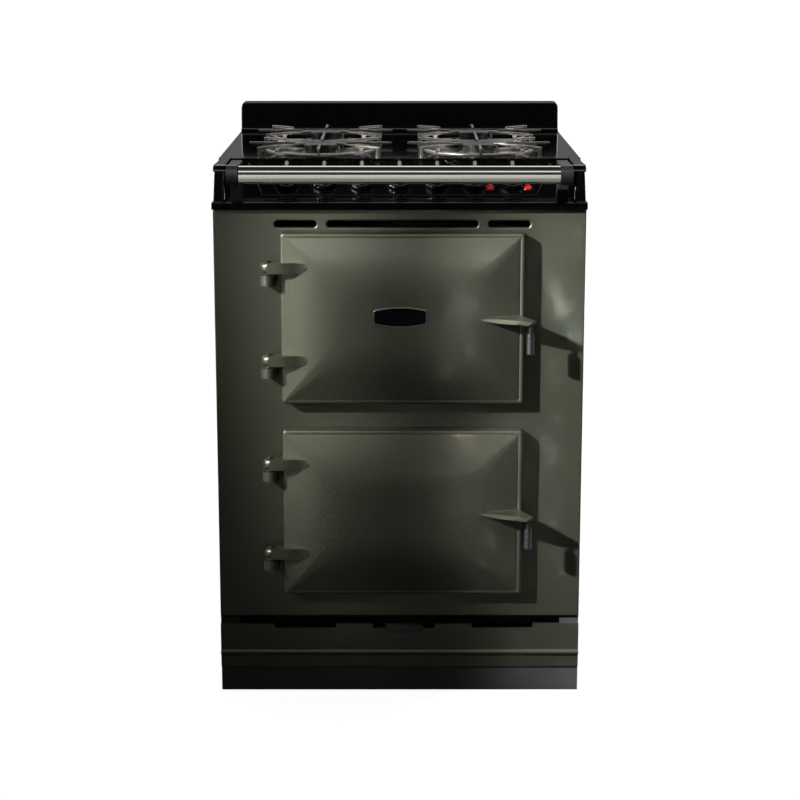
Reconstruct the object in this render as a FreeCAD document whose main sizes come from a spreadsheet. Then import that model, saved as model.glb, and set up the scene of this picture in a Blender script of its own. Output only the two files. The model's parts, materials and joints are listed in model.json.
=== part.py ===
import FreeCAD, Part
import Sketcher
import math
import os
import re

# A range cooker 600 mm wide: two ovens one above the other behind side-hinged cast doors, a four-burner
# gas hob with lift-off pan supports, seven controls on a sloped panel and a handrail before them.
# X runs to the right, Y to the back, Z up. The origin is on the floor under the middle of the object.
# The front plane is the face of the front plate, and depths are measured back from it.

SIZES = {
    # Body
    "body_width": 600,
    "body_depth": 600,
    "plate_bottom": 135,
    "plate_top": 823,
    "plate_thickness": 6,
    "plate_edge_radius": 3,
    "side_sheet": 1.5,
    "side_return": 15,
    "back_sheet": 1.5,
    "service_gap": 30,
    # Plinth and feet
    "plinth_height": 46,
    "plinth_recess": 4,
    "plinth_sheet": 1.5,
    "plinth_depth": 560,
    "floor_gap": 2,
    "foot_radius": 18,
    "foot_height": 6,
    "foot_stud_radius": 5,
    "foot_nut_radius": 9,
    "foot_nut_height": 6,
    "foot_inset": 28,
    # Welded frame
    "frame_bottom": 22,
    "frame_strip": 3,
    "frame_flange": 30,
    "frame_ring": 10,
    "base_sheet": 1.5,
    "gusset": 55,
    "bearer_width": 20,
    "bearer_setback": 90,
    "gap_member_depth": 24,
    "gap_member_height": 30,
    # Lower vent panel and its catch
    "vent_panel_top": 121,
    "vent_panel_thickness": 6,
    "ridge_height": 72,
    "ridge_radius": 5.5,
    "ridge_reach": 5,
    "notch_depth": 8,
    "notch_radius": 3,
    "side_notch_width": 103,
    "middle_notch_width": 104,
    "side_notch_centre": 165,
    "notch_shift": 7,
    "catch_width": 63,
    "catch_height": 10.4,
    "catch_drop": 6,
    "catch_sheet": 2,
    "catch_shift": 1.5,
    # Top vents of the front plate
    "slot_bottom": 793,
    "slot_height": 11,
    "slot_radius": 5.3,
    "slot_rim": 3,
    "middle_slot_width": 243,
    "side_slot_width": 67,
    "slot_bridge": 17,
    # Ovens
    "door_shift": 5,
    "upper_oven_centre": 646.5,
    "lower_oven_centre": 321.5,
    "mouth_width": 320,
    "mouth_height": 222,
    "mouth_radius": 12,
    "oven_back_space": 200,
    "liner_sheet": 1.5,
    "liner_flange": 12,
    "insulation": 25,
    "rib_reach": 8,
    "rib_height": 6,
    "rib_end_gap": 30,
    "rib_pitch": 48,
    "shelf_back_gap": 60,
    "shelf_setback": 30,
    "shelf_frame": 6,
    "shelf_rod": 4,
    "shelf_play": 1,
    # Doors
    "door_width": 392,
    "door_height": 281,
    "door_gap": 3.3,
    "door_rim": 19,
    "door_crown": 14,
    "door_bevel": 62,
    "door_radius": 4,
    "door_wall": 7,
    "door_hollow": 14,
    "door_liner_sheet": 2,
    "door_plug": 12,
    "door_plug_play": 5,
    "seal_inset": 5,
    "seal_width": 10,
    "seal_height": 3,
    "catch_strip_gap": 3,
    "catch_strip_width": 11,
    "catch_strip_height": 50,
    # Hinges
    "hinge_side": 216,
    "hinge_stand_off": 25,
    "hinge_offset": 76,
    "arm_height": 17.5,
    "arm_radius": 11.5,
    "arm_length": 60,
    "knuckle_height": 16,
    "knuckle_radius": 13,
    "washer_height": 3,
    "washer_radius": 8,
    "hinge_play": 0.4,
    "pin_radius": 3.5,
    "pin_head_radius": 5,
    "pin_head_height": 3,
    "pin_play": 0.3,
    # Door handles
    "fin_root": 127,
    "fin_height": 10,
    "fin_rise": 2,
    "fin_stand_off": 62,
    "barrel_side": 204,
    "barrel_stand_off": 54,
    "barrel_radius": 6.3,
    "barrel_length": 34,
    "barrel_drop": 13,
    "neck_radius": 3.5,
    # Badge plate
    "badge_width": 86,
    "badge_height": 33,
    "badge_end_height": 20,
    "badge_thickness": 2.5,
    "badge_shift": -4,
    "badge_rise": 7,
    # Hob
    "lip_height": 12,
    "lip_overhang": 1,
    "lip_reach": 10,
    "surround_side": 18,
    "hob_rise": 56,
    "hob_sheet": 3,
    "hob_edge_radius": 2,
    "ear_width": 20,
    "ear_toe": 2,
    "ear_crest": 20.5,
    "ear_radius": 15,
    "ear_back": 150,
    # Control panel
    "fascia_start": 39,
    "fascia_run": 78,
    "fascia_sheet": 3,
    "fascia_play": 0.3,
    "raised_plate": 1.5,
    "raised_low_inset": 77,
    "raised_high_inset": 50,
    "raised_margin": 8,
    # Splashback
    "splash_height": 54,
    "splash_base": 45,
    "splash_top": 40,
    "splash_cove": 8,
    "splash_lip": 0.5,
    "splash_radius": 8,
    "splash_wall": 4,
    # Knobs and what they turn
    "knob_pitch": 61.3,
    "knob_slope_place": 36,
    "knob_radius": 20.5,
    "knob_skirt": 8,
    "knob_hub_low": 17,
    "knob_hub_high": 14,
    "knob_hub": 8,
    "grip_width": 9,
    "grip_length": 38,
    "knob_height": 29,
    "knob_gap": 3.6,
    "spindle_radius": 4,
    "spindle_play": 0.3,
    "spindle_grip": 14,
    "knob_bore": 18,
    "tap_nose_radius": 11,
    "tap_nose": 20,
    "tap_width": 26,
    "tap_length": 34,
    "tap_height": 26,
    "spindle_depth": 10,
    "switch_width": 34,
    "switch_length": 40,
    "switch_height": 24,
    "manifold_size": 20,
    "manifold_end": 22,
    "inlet_radius": 10.5,
    "inlet_inset": 50,
    "inlet_drop": 5.4,
    "inlet_stub": 20,
    "supply_radius": 7,
    "supply_play": 0.4,
    # Neon lenses
    "neon_radius": 6,
    "neon_height": 2,
    "neon_dome": 2.5,
    "neon_shift": 25,
    "neon_drop": 12,
    "neon_body_radius": 4,
    "neon_body": 14,
    # Burners
    "burner_side": 134,
    "front_burner_share": 19 / 60,
    "burner_pitch_share": 41 / 120,
    "burner_hole": 36,
    "burner_flange": 3,
    "burner_flange_radius": 42,
    "burner_boss": 34,
    "burner_rise": 2,
    "mixer_radius": 12,
    "mixer_length": 30,
    "crown_radius": 26,
    "crown_bore": 20,
    "crown_height": 11,
    "cap_radius": 28,
    "cap_top_radius": 24,
    "cap_rim": 2,
    "cap_dome": 3,
    "spigot_radius": 19.5,
    "spigot_depth": 4,
    "electrode_radius": 1.8,
    "electrode_height": 10,
    "electrode_place": 31,
    # Pan supports
    "bar_width": 7,
    "bar_height": 13,
    "support_top": 20,
    "ring_radius": 90,
    "ring_height": 6,
    "ring_rise": 4,
    "finger_inner": 43,
    "finger_outer": 121,
    "short_finger_outer": 96,
    "brace_inner": 76,
    "brace_outer": 128,
    "brace_angle": 38,
    "support_foot": 8,
    # Handrail
    "rail_reach": 73,
    "rail_radius": 15,
    "rail_wall": 2,
    "rail_drop": 5.5,
    "rail_inset": 47,
    "bracket_width": 18,
    "bracket_radius": 16,
    "bracket_depth": 26,
    "bracket_arm_height": 25,
    "bracket_start": 6,
    # Heating of the upper oven
    "element_radius": 3.5,
    "grill_pitch": 66,
    "grill_drop": 16,
    "grill_front_gap": 100,
    "grill_back": 60,
    "hanger_width": 8,
    "hanger_depth": 6,
    "base_element_bend": 90,
    "base_element_front": 140,
    "element_play": 0.3,
    "element_pocket": 8,
    # Fan of the lower oven
    "fan_radius": 60,
    "fan_depth": 22,
    "fan_disc": 2,
    "fan_blade": 2,
    "fan_hub": 12,
    "fan_gap": 9,
    "blade_reach": 34,
    "fan_shaft_radius": 4,
    "fan_shaft": 30,
    "ring_element_gap": 15,
    "ring_element_leg": 18,
    "element_leg_radius": 2.8,
    "baffle_side_gap": 20,
    "baffle_end_gap": 16,
    "baffle_depth": 45,
    "baffle_sheet": 1.5,
    "baffle_hole": 40,
    "motor_radius": 40,
    "motor_length": 55,
    "motor_nose": 10,
    "motor_play": 0.3,
    # Back panel, its louvres, terminal block and screws
    "louvre_width": 90,
    "louvre_height": 6,
    "louvre_pitch": 18,
    "louvre_side": 120,
    "louvre_bottom": 600,
    "cable_hole_radius": 11,
    "cable_hole_height": 240,
    "terminal_rise": 20,
    "terminal_inset": 90,
    "terminal_width": 70,
    "terminal_depth": 36,
    "terminal_length": 60,
    "screw_head_radius": 4.5,
    "screw_head": 2.5,
    "screw_radius": 2,
    "screw_length": 8,
    "screw_play": 0.2,
    "screw_inset": 10,
    "screw_end_gap": 60,
}

BURNER_NAMES = ("front_left", "rear_left", "front_right", "rear_right")
SLOT_COUNT = 6
SCREW_ROWS = 4
RIB_ROWS = (-1, 0, 1)
FAN_BLADES = 12
SHELF_RODS = 11
GRILL_RUNS = 4
LEG_ANGLE = 40
KNOB_COUNT = 7
MIDDLE_KNOB = 4
GAS_KNOBS = (1, 2, 3, 4)
SAME_LENGTH_SHARE = 0.000001
QUARTER_TURN = 90
HALF_TURN = 180
FULL_TURN = 360

document = FreeCAD.newDocument("RangeCooker")


def sheet_of_sizes():
    """The spreadsheet that holds every driving size in a cell of its own."""
    sheet = document.addObject("Spreadsheet::Sheet", "Sizes")
    for row, (alias, number) in enumerate(SIZES.items(), 1):
        sheet.set(f"A{row}", alias)
        sheet.set(f"B{row}", str(number))
        sheet.setAlias(f"B{row}", alias)
    document.recompute()
    return sheet


sizes = sheet_of_sizes()


def size(alias):
    """The number that a cell of the spreadsheet holds."""
    return float(sizes.get(alias))


def cells(expression):
    """The expression with every size in it spelled as a reference to its cell."""
    def refer(found):
        word = found.group()
        return f"Sizes.{word}" if word in SIZES else word
    return re.sub(r"[a-z][a-z_]*", refer, expression)


def bind(item, **expressions):
    """Tie properties of an object to the spreadsheet."""
    for name, expression in expressions.items():
        item.setExpression(name, cells(expression))


def place(item, start):
    """Tie an object's position to the spreadsheet."""
    for axis, expression in zip("xyz", start):
        item.setExpression(f"Placement.Base.{axis}", cells(expression))


# Places that several sub-parts share, as expressions of the sizes
HALF_WIDTH = "body_width / 2"
FRONT = "(rail_reach - body_depth) / 2"
BACK = "(rail_reach + body_depth) / 2"
LIP_TOP = "(plate_top + lip_height)"
HOB_HEIGHT = f"({LIP_TOP} + hob_rise)"
HOB_UNDERSIDE = f"({HOB_HEIGHT} - hob_sheet)"
FASCIA_RISE = f"({HOB_UNDERSIDE} - {LIP_TOP})"
FASCIA_LENGTH = f"hypot(fascia_run; {FASCIA_RISE})"
RUN_SHARE = f"(fascia_run / {FASCIA_LENGTH})"
RISE_SHARE = f"({FASCIA_RISE} / {FASCIA_LENGTH})"
MANIFOLD_TOP = "(-fascia_sheet - tap_nose - tap_height)"
INLET_HEIGHT = (f"({LIP_TOP} + knob_slope_place * {RISE_SHARE}"
                f" + ({MANIFOLD_TOP} - manifold_size / 2) * {RUN_SHARE} - inlet_drop)")
PLATE_BACK = f"({FRONT} + plate_thickness)"
FRAME_SIDE = f"({HALF_WIDTH} - side_sheet)"
BACK_PANEL = f"({BACK} - service_gap - back_sheet)"
OVEN_DEPTH = "(body_depth - oven_back_space)"
OVEN_BACK = f"({PLATE_BACK} + {OVEN_DEPTH})"
RIB_LENGTH = f"({OVEN_DEPTH} - 2 * rib_end_gap)"
SHELF_DEPTH = f"({OVEN_DEPTH} - shelf_setback - shelf_back_gap)"
FRONT_BURNER = f"({FRONT} + body_depth * front_burner_share)"
BURNER_PITCH = "(body_depth * burner_pitch_share)"
INLET_SIDE = f"({HALF_WIDTH} - inlet_inset)"
TERMINAL_SIDE = f"({HALF_WIDTH} - terminal_inset)"
RAIL_HALF_LENGTH = f"({HALF_WIDTH} - rail_inset)"
RAIL_HEIGHT = f"({HOB_HEIGHT} - rail_drop)"
BAFFLE_WIDTH = "(mouth_width - 2 * baffle_side_gap)"
BAFFLE_HEIGHT = "(mouth_height - 2 * baffle_end_gap)"
RING_ELEMENT_RADIUS = f"({BAFFLE_HEIGHT} / 2 - ring_element_gap)"
INSULATION_BACK = f"({OVEN_BACK} + liner_sheet + insulation)"
INSULATION_HALF_WIDTH = "(mouth_width / 2 + liner_sheet + insulation)"
INSULATION_HALF_HEIGHT = "(mouth_height / 2 + liner_sheet + insulation)"
OVENS = {"upper": "upper_oven_centre", "lower": "lower_oven_centre"}


def box(name, start, lengths):
    """A block from its low corner, with its lengths along X, Y and Z."""
    item = document.addObject("Part::Box", name)
    for side, expression in zip(("Length", "Width", "Height"), lengths):
        item.setExpression(side, cells(expression))
    place(item, start)
    return item


def turned(item, axis):
    """Lay an object that stands along Z along X or Y."""
    if axis == "x":
        item.Placement.Rotation = FreeCAD.Rotation(FreeCAD.Vector(0, 1, 0), QUARTER_TURN)
    if axis == "y":
        item.Placement.Rotation = FreeCAD.Rotation(FreeCAD.Vector(1, 0, 0), -QUARTER_TURN)


def cylinder(name, start, radius, height, axis="z"):
    """A cylinder from the centre of its first end, along an axis."""
    item = document.addObject("Part::Cylinder", name)
    bind(item, Radius=radius, Height=height)
    turned(item, axis)
    place(item, start)
    return item


def cone(name, start, low_radius, high_radius, height, axis="z"):
    """A cone from the centre of its first end, along an axis."""
    item = document.addObject("Part::Cone", name)
    bind(item, Radius1=low_radius, Radius2=high_radius, Height=height)
    turned(item, axis)
    place(item, start)
    return item


def fuse(name, shapes):
    """One object from several that overlap or touch."""
    item = document.addObject("Part::MultiFuse", name)
    item.Shapes = shapes
    item.Refine = True
    return item


def group(name, shapes):
    """One object that holds several separate solids."""
    item = document.addObject("Part::Compound", name)
    item.Links = shapes
    return item


def cut(name, base, tools):
    """An object without the space of the tools."""
    item = document.addObject("Part::Cut", name)
    item.Base = base
    item.Tool = tools[0] if len(tools) == 1 else fuse(f"{name}_tools", tools)
    item.Refine = True
    return item


def common(name, shapes):
    """The space that several objects share."""
    item = document.addObject("Part::MultiCommon", name)
    item.Shapes = shapes
    return item


def rounded(name, base, radius, wanted):
    """An object with the edges that a test picks rounded."""
    document.recompute()
    item = document.addObject("Part::Fillet", name)
    item.Base = base
    numbers = [number for number, edge in enumerate(base.Shape.Edges, 1) if wanted(edge)]
    item.Edges = [(number, radius, radius) for number in numbers]
    return item


def runs_along(edge, axis):
    """Whether an edge is straight and parallel to X, Y or Z."""
    reach = edge.BoundBox
    lengths = {"x": reach.XLength, "y": reach.YLength, "z": reach.ZLength}
    longest = lengths.pop(axis)
    return longest > 0 and max(lengths.values()) < longest * SAME_LENGTH_SHARE


def pad(name, plane, points, length, start):
    """A prism on an outline of points on an origin plane, each point tied to the sizes."""
    body = document.addObject("PartDesign::Body", name)
    sketch = body.newObject("Sketcher::SketchObject", f"{name}_outline")
    support = next(item for item in body.Origin.OriginFeatures if item.Role == plane)
    sketch.AttachmentSupport = [(support, "")]
    sketch.MapMode = "FlatFace"
    count = len(points)
    ring = [math.tau * number / count for number in range(count)]
    corners = [FreeCAD.Vector(math.cos(angle), math.sin(angle), 0) for angle in ring]
    for number in range(count):
        sketch.addGeometry(Part.LineSegment(corners[number], corners[(number + 1) % count]))
    for number in range(count):
        sketch.addConstraint(Sketcher.Constraint("Coincident", number, 2, (number + 1) % count, 1))
    for number, point in enumerate(points):
        for kind, expression, guess in zip(("DistanceX", "DistanceY"), point, corners[number]):
            place_in_list = sketch.addConstraint(Sketcher.Constraint(kind, -1, 1, number, 1, guess))
            sketch.setExpression(f"Constraints[{place_in_list}]", cells(expression))
    prism = body.newObject("PartDesign::Pad", f"{name}_pad")
    prism.Profile = sketch
    bind(prism, Length=length)
    place(body, start)
    return body


def on_fascia(item, across, up, out):
    """Place an object in the frame of the control panel: across, up its slope and out of its face."""
    item.Placement.Rotation = FreeCAD.Rotation(FreeCAD.Vector(1, 0, 0), QUARTER_TURN)
    item.setExpression("Placement.Rotation.Angle", cells(f"atan2({FASCIA_RISE}; fascia_run)"))
    back = f"{FRONT} + fascia_start + ({up}) * {RUN_SHARE} - ({out}) * {RISE_SHARE}"
    height = f"{LIP_TOP} + ({up}) * {RISE_SHARE} + ({out}) * {RUN_SHARE}"
    place(item, (across, back, height))
    return item


def fascia_box(name, across, up, out, lengths):
    """A block in the frame of the control panel, from its low corner."""
    return on_fascia(box(name, ("0", "0", "0"), lengths), across, up, out)


def fascia_cylinder(name, across, up, out, radius, height):
    """A cylinder that stands out of the control panel."""
    return on_fascia(cylinder(name, ("0", "0", "0"), radius, height), across, up, out)


# Outer body


def make_base_frame():
    """Welded strips: corner posts, rings at foot and top, bearers under both ovens, and a base sheet."""
    strips = []
    depth = f"({BACK_PANEL} - {PLATE_BACK})"
    post_height = "plate_top - frame_bottom"
    for side, edge in (("left", f"-{FRAME_SIDE}"), ("right", f"{FRAME_SIDE} - frame_strip")):
        inner = f"-{FRAME_SIDE}" if side == "left" else f"{FRAME_SIDE} - frame_flange"
        for end, start, face in (
            ("front", PLATE_BACK, PLATE_BACK),
            ("rear", f"{BACK_PANEL} - frame_flange", f"{BACK_PANEL} - frame_strip"),
        ):
            name = f"post_{side}_{end}"
            side_strip = ("frame_strip", "frame_flange", post_height)
            face_strip = ("frame_flange", "frame_strip", post_height)
            strips.append(box(f"{name}_side", (edge, start, "frame_bottom"), side_strip))
            strips.append(box(f"{name}_face", (inner, face, "frame_bottom"), face_strip))
            corner = f"-{FRAME_SIDE}" if side == "left" else f"{FRAME_SIDE} - gusset"
            corner_start = PLATE_BACK if end == "front" else f"{BACK_PANEL} - gusset"
            plate = ("gusset", "gusset", "frame_strip")
            strips.append(box(f"{name}_gusset", (corner, corner_start, "frame_bottom"), plate))
        for level, low, tall in (
            ("foot", "frame_bottom", "frame_flange"),
            ("top", "plate_top - frame_ring", "frame_ring"),
        ):
            strips.append(box(f"ring_{level}_{side}", (edge, PLATE_BACK, low), ("frame_strip", depth, tall)))
        for oven, centre in OVENS.items():
            low = f"{centre} - {INSULATION_HALF_HEIGHT} - bearer_width"
            strips.append(box(f"rail_{oven}_{side}", (edge, PLATE_BACK, low),
                              ("frame_strip", depth, "bearer_width")))
    for level, low, tall in (
        ("foot", "frame_bottom", "frame_flange"),
        ("top", "plate_top - frame_ring", "frame_ring"),
    ):
        for end, face in (("front", PLATE_BACK), ("rear", f"{BACK_PANEL} - frame_strip")):
            strips.append(box(f"ring_{level}_{end}", (f"-{FRAME_SIDE}", face, low),
                              (f"2 * {FRAME_SIDE}", "frame_strip", tall)))
    for oven, centre in OVENS.items():
        low = f"{centre} - {INSULATION_HALF_HEIGHT} - frame_strip"
        for end, start in (
            ("front", f"{PLATE_BACK} + bearer_setback"),
            ("rear", f"{INSULATION_BACK} - bearer_setback"),
        ):
            strips.append(box(f"bearer_{oven}_{end}", (f"-{FRAME_SIDE}", start, low),
                              (f"2 * {FRAME_SIDE}", "bearer_width", "frame_strip")))
    middle = "(vent_panel_top + plate_bottom) / 2 - gap_member_height / 2"
    strips.append(box("gap_member", (f"-{FRAME_SIDE}", f"{FRONT} + gap_member_depth", middle),
                      (f"2 * {FRAME_SIDE}", "frame_strip", "gap_member_height")))
    strips.append(box("base_sheet_plate", (f"-{FRAME_SIDE}", PLATE_BACK, "frame_bottom"),
                      (f"2 * {FRAME_SIDE}", depth, "base_sheet")))
    return drill_screws("base_frame", fuse("frame_whole", strips))


def make_levelling_feet():
    """Four feet: a disc on the floor, a threaded stud and a nut under the corner plate."""
    feet = []
    side = f"({FRAME_SIDE} - foot_inset)"
    for number, (across, back) in enumerate((
        (f"-{side}", f"{PLATE_BACK} + foot_inset"), (side, f"{PLATE_BACK} + foot_inset"),
        (f"-{side}", f"{BACK_PANEL} - foot_inset"), (side, f"{BACK_PANEL} - foot_inset"),
    )):
        disc = cylinder(f"foot_disc_{number}", (across, back, "0"), "foot_radius", "foot_height")
        stud = cylinder(f"foot_stud_{number}", (across, back, "foot_height"), "foot_stud_radius",
                        "frame_bottom - foot_height")
        nut = document.addObject("Part::Prism", f"foot_nut_{number}")
        bind(nut, Circumradius="foot_nut_radius", Height="foot_nut_height")
        place(nut, (across, back, "frame_bottom - foot_nut_height"))
        feet.append(fuse(f"foot_{number}", [disc, stud, nut]))
    return group("levelling_feet", feet)


def make_plinth():
    """A kick plate bent round the front and both sides, just clear of the floor."""
    height = "plinth_height - floor_gap"
    start = f"{FRONT} + plinth_recess"
    front = box("plinth_front", (f"-{HALF_WIDTH}", start, "floor_gap"),
                ("body_width", "plinth_sheet", height))
    left = box("plinth_left", (f"-{HALF_WIDTH}", start, "floor_gap"),
               ("plinth_sheet", "plinth_depth", height))
    right = box("plinth_right", (f"{HALF_WIDTH} - plinth_sheet", start, "floor_gap"),
                ("plinth_sheet", "plinth_depth", height))
    return fuse("plinth", [front, left, right])


def make_side_panels():
    """Two sheets from the plinth to the hob, each with a return at its rear edge."""
    panels = []
    height = "plate_top - plinth_height"
    length = "body_depth - plate_thickness"
    for side, edge, inner in (
        ("left", f"-{HALF_WIDTH}", f"-{HALF_WIDTH}"),
        ("right", f"{HALF_WIDTH} - side_sheet", f"{HALF_WIDTH} - side_return"),
    ):
        sheet = box(f"side_sheet_{side}", (edge, PLATE_BACK, "plinth_height"), ("side_sheet", length, height))
        back = box(f"side_return_{side}", (inner, f"{BACK} - side_sheet", "plinth_height"),
                   ("side_return", "side_sheet", height))
        panels.append(fuse(f"side_panel_{side}", [sheet, back]))
    return group("side_panels", panels)


def screw_places():
    """Where the screws of the back panel stand: in a row down each side."""
    low = "plinth_height + screw_end_gap"
    pitch = f"(plate_top - plinth_height - 2 * screw_end_gap) / {SCREW_ROWS - 1}"
    side = f"({FRAME_SIDE} - screw_inset)"
    return [(across, f"{low} + {row} * {pitch}") for across in (f"-{side}", side) for row in range(SCREW_ROWS)]


def drill_screws(name, base):
    """Clearance holes for the screws of the back panel."""
    drills = [
        cylinder(f"{name}_drill_{number}", (across, f"{BACK_PANEL} - screw_length", height),
                 "screw_radius + screw_play", "screw_length + back_sheet", "y")
        for number, (across, height) in enumerate(screw_places())
    ]
    return cut(name, base, drills)


def make_back_panel():
    """The rear sheet with louvres, a cable hole and a hole for the gas inlet."""
    sheet = box("back_sheet_blank", (f"-{FRAME_SIDE}", BACK_PANEL, "plinth_height"),
                (f"2 * {FRAME_SIDE}", "back_sheet", "plate_top - plinth_height"))
    tools = []
    for side in (-1, 1):
        for row in range(SLOT_COUNT):
            start = (f"{side} * louvre_side - louvre_width / 2", BACK_PANEL,
                     f"louvre_bottom + {row} * louvre_pitch")
            tools.append(box(f"louvre_{row}_{side}", start, ("louvre_width", "back_sheet", "louvre_height")))
    tools.append(cylinder("cable_hole", (f"-{TERMINAL_SIDE}", BACK_PANEL, "cable_hole_height"),
                          "cable_hole_radius", "back_sheet", "y"))
    tools.append(cylinder("inlet_hole", (INLET_SIDE, BACK_PANEL, INLET_HEIGHT),
                          "supply_radius + supply_play", "back_sheet", "y"))
    return drill_screws("back_panel", cut("back_sheet_open", sheet, tools))


def make_fasteners():
    """The screws that hold the back panel to the rear posts."""
    screws = []
    for number, (across, height) in enumerate(screw_places()):
        head = cylinder(f"screw_head_{number}", (across, f"{BACK_PANEL} + back_sheet", height),
                        "screw_head_radius", "screw_head", "y")
        shank = cylinder(f"screw_shank_{number}",
                         (across, f"{BACK_PANEL} + back_sheet - screw_length", height),
                         "screw_radius", "screw_length", "y")
        screws.append(fuse(f"screw_{number}", [head, shank]))
    return group("fasteners", screws)


def mouth_block(name, centre, start, depth):
    """The space of an oven mouth, with its rounded corners, from a depth towards the back."""
    block = box(f"{name}_block", ("door_shift - mouth_width / 2", start, f"{centre} - mouth_height / 2"),
                ("mouth_width", depth, "mouth_height"))
    return rounded(name, block, size("mouth_radius"), lambda edge: runs_along(edge, "y"))


def vent_slots():
    """The tools of the three round-ended vents above the upper door."""
    side = "(middle_slot_width / 2 + slot_bridge)"
    spans = (
        ("left", f"door_shift - {side} - side_slot_width", "side_slot_width"),
        ("middle", "door_shift - middle_slot_width / 2", "middle_slot_width"),
        ("right", f"door_shift + {side}", "side_slot_width"),
    )
    tools = []
    for name, start, width in spans:
        block = box(f"slot_block_{name}", (start, FRONT, "slot_bottom"),
                    (width, "plate_thickness", "slot_height"))
        tools.append(rounded(f"slot_{name}", block, size("slot_radius"), lambda edge: runs_along(edge, "y")))
    return tools


def make_front_plate():
    """The face of the body, with two oven mouths and three soft-edged vents."""
    blank = box("front_blank", (f"-{HALF_WIDTH}", FRONT, "plate_bottom"),
                ("body_width", "plate_thickness", "plate_top - plate_bottom"))

    def on_face(edge):
        middle = edge.BoundBox.Center
        return middle.y < blank.Shape.BoundBox.Center.y and not runs_along(edge, "y")

    def slot_rim(edge):
        reach = edge.BoundBox
        in_band = size("slot_bottom") <= reach.Center.z <= size("slot_bottom") + size("slot_height")
        return in_band and on_face(edge) and reach.XMax - reach.XMin > 0

    soft = rounded("front_soft", blank, size("plate_edge_radius"), on_face)
    mouths = [mouth_block(f"mouth_{oven}", centre, FRONT, "plate_thickness")
              for oven, centre in OVENS.items()]
    pierced = cut("front_pierced", soft, mouths + vent_slots())
    return rounded("front_plate", pierced, size("slot_rim"), slot_rim)


def make_lower_vent_panel():
    """The panel under the front plate: a ridge along it and three notches in its top edge."""
    sheet = box("vent_panel_sheet", (f"-{HALF_WIDTH}", FRONT, "plinth_height"),
                ("body_width", "vent_panel_thickness", "vent_panel_top - plinth_height"))
    ridge = cylinder("vent_panel_ridge",
                     (f"-{HALF_WIDTH}", f"{FRONT} + ridge_radius - ridge_reach", "ridge_height"),
                     "ridge_radius", "body_width", "x")
    panel = fuse("vent_panel_blank", [sheet, ridge])
    notches = []
    for name, centre, width in (
        ("left", "notch_shift - side_notch_centre", "side_notch_width"),
        ("middle", "notch_shift", "middle_notch_width"),
        ("right", "notch_shift + side_notch_centre", "side_notch_width"),
    ):
        block = box(f"notch_block_{name}", (f"{centre} - {width} / 2", FRONT, "vent_panel_top - notch_depth"),
                    (width, "vent_panel_thickness", "2 * notch_depth"))

        def low_corner(edge):
            return runs_along(edge, "y") and edge.BoundBox.Center.z < size("vent_panel_top")

        notches.append(rounded(f"notch_{name}", block, size("notch_radius"), low_corner))
    return cut("lower_vent_panel", panel, notches)


def make_panel_catch():
    """A bent tab that hooks over the middle notch and runs back to the cross member."""
    across = "catch_shift + notch_shift - catch_width / 2"
    floor = "vent_panel_top - notch_depth"
    lip = box("catch_lip", (across, f"{FRONT} - catch_sheet", f"{floor} - catch_drop"),
              ("catch_width", "catch_sheet", "catch_height"))
    leg = box("catch_leg", (across, f"{FRONT} - catch_sheet", floor),
              ("catch_width", "gap_member_depth + catch_sheet", "catch_sheet"))
    return fuse("panel_catch", [lip, leg])


# Ovens


def make_oven_liner(oven, centre):
    """An open steel box behind the mouth, with a flange at its front and ribs for the shelf."""
    half_width = "(mouth_width / 2 + liner_sheet)"
    half_height = "(mouth_height / 2 + liner_sheet)"
    shell = box(f"{oven}_liner_outside",
                (f"door_shift - {half_width}", PLATE_BACK, f"{centre} - {half_height}"),
                (f"2 * {half_width}", f"{OVEN_DEPTH} + liner_sheet", f"2 * {half_height}"))
    flange = box(f"{oven}_liner_flange",
                 (f"door_shift - {half_width} - liner_flange", PLATE_BACK,
                  f"{centre} - {half_height} - liner_flange"),
                 (f"2 * ({half_width} + liner_flange)", "liner_sheet", f"2 * ({half_height} + liner_flange)"))
    inside = mouth_block(f"{oven}_liner_inside", centre, PLATE_BACK, OVEN_DEPTH)
    liner = cut(f"{oven}_liner_shell", fuse(f"{oven}_liner_blank", [shell, flange]), [inside])
    ribs = []
    for row in RIB_ROWS:
        for side, start in (("left", "door_shift - mouth_width / 2"),
                            ("right", "door_shift + mouth_width / 2 - rib_reach")):
            height = f"{centre} + {row} * rib_pitch - rib_height"
            place_back = f"{PLATE_BACK} + rib_end_gap"
            ribs.append(box(f"{oven}_rib_{side}_{row}", (start, place_back, height),
                            ("rib_reach", RIB_LENGTH, "rib_height")))
    whole = fuse(f"{oven}_liner_ribbed", [liner] + ribs)
    if oven == "upper":
        whole.Label = "upper_oven_liner"
        return whole
    hole = cylinder("liner_shaft_hole", ("door_shift", OVEN_BACK, centre), "motor_nose + motor_play",
                    "liner_sheet", "y")
    return cut("lower_oven_liner", whole, [hole])


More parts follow.
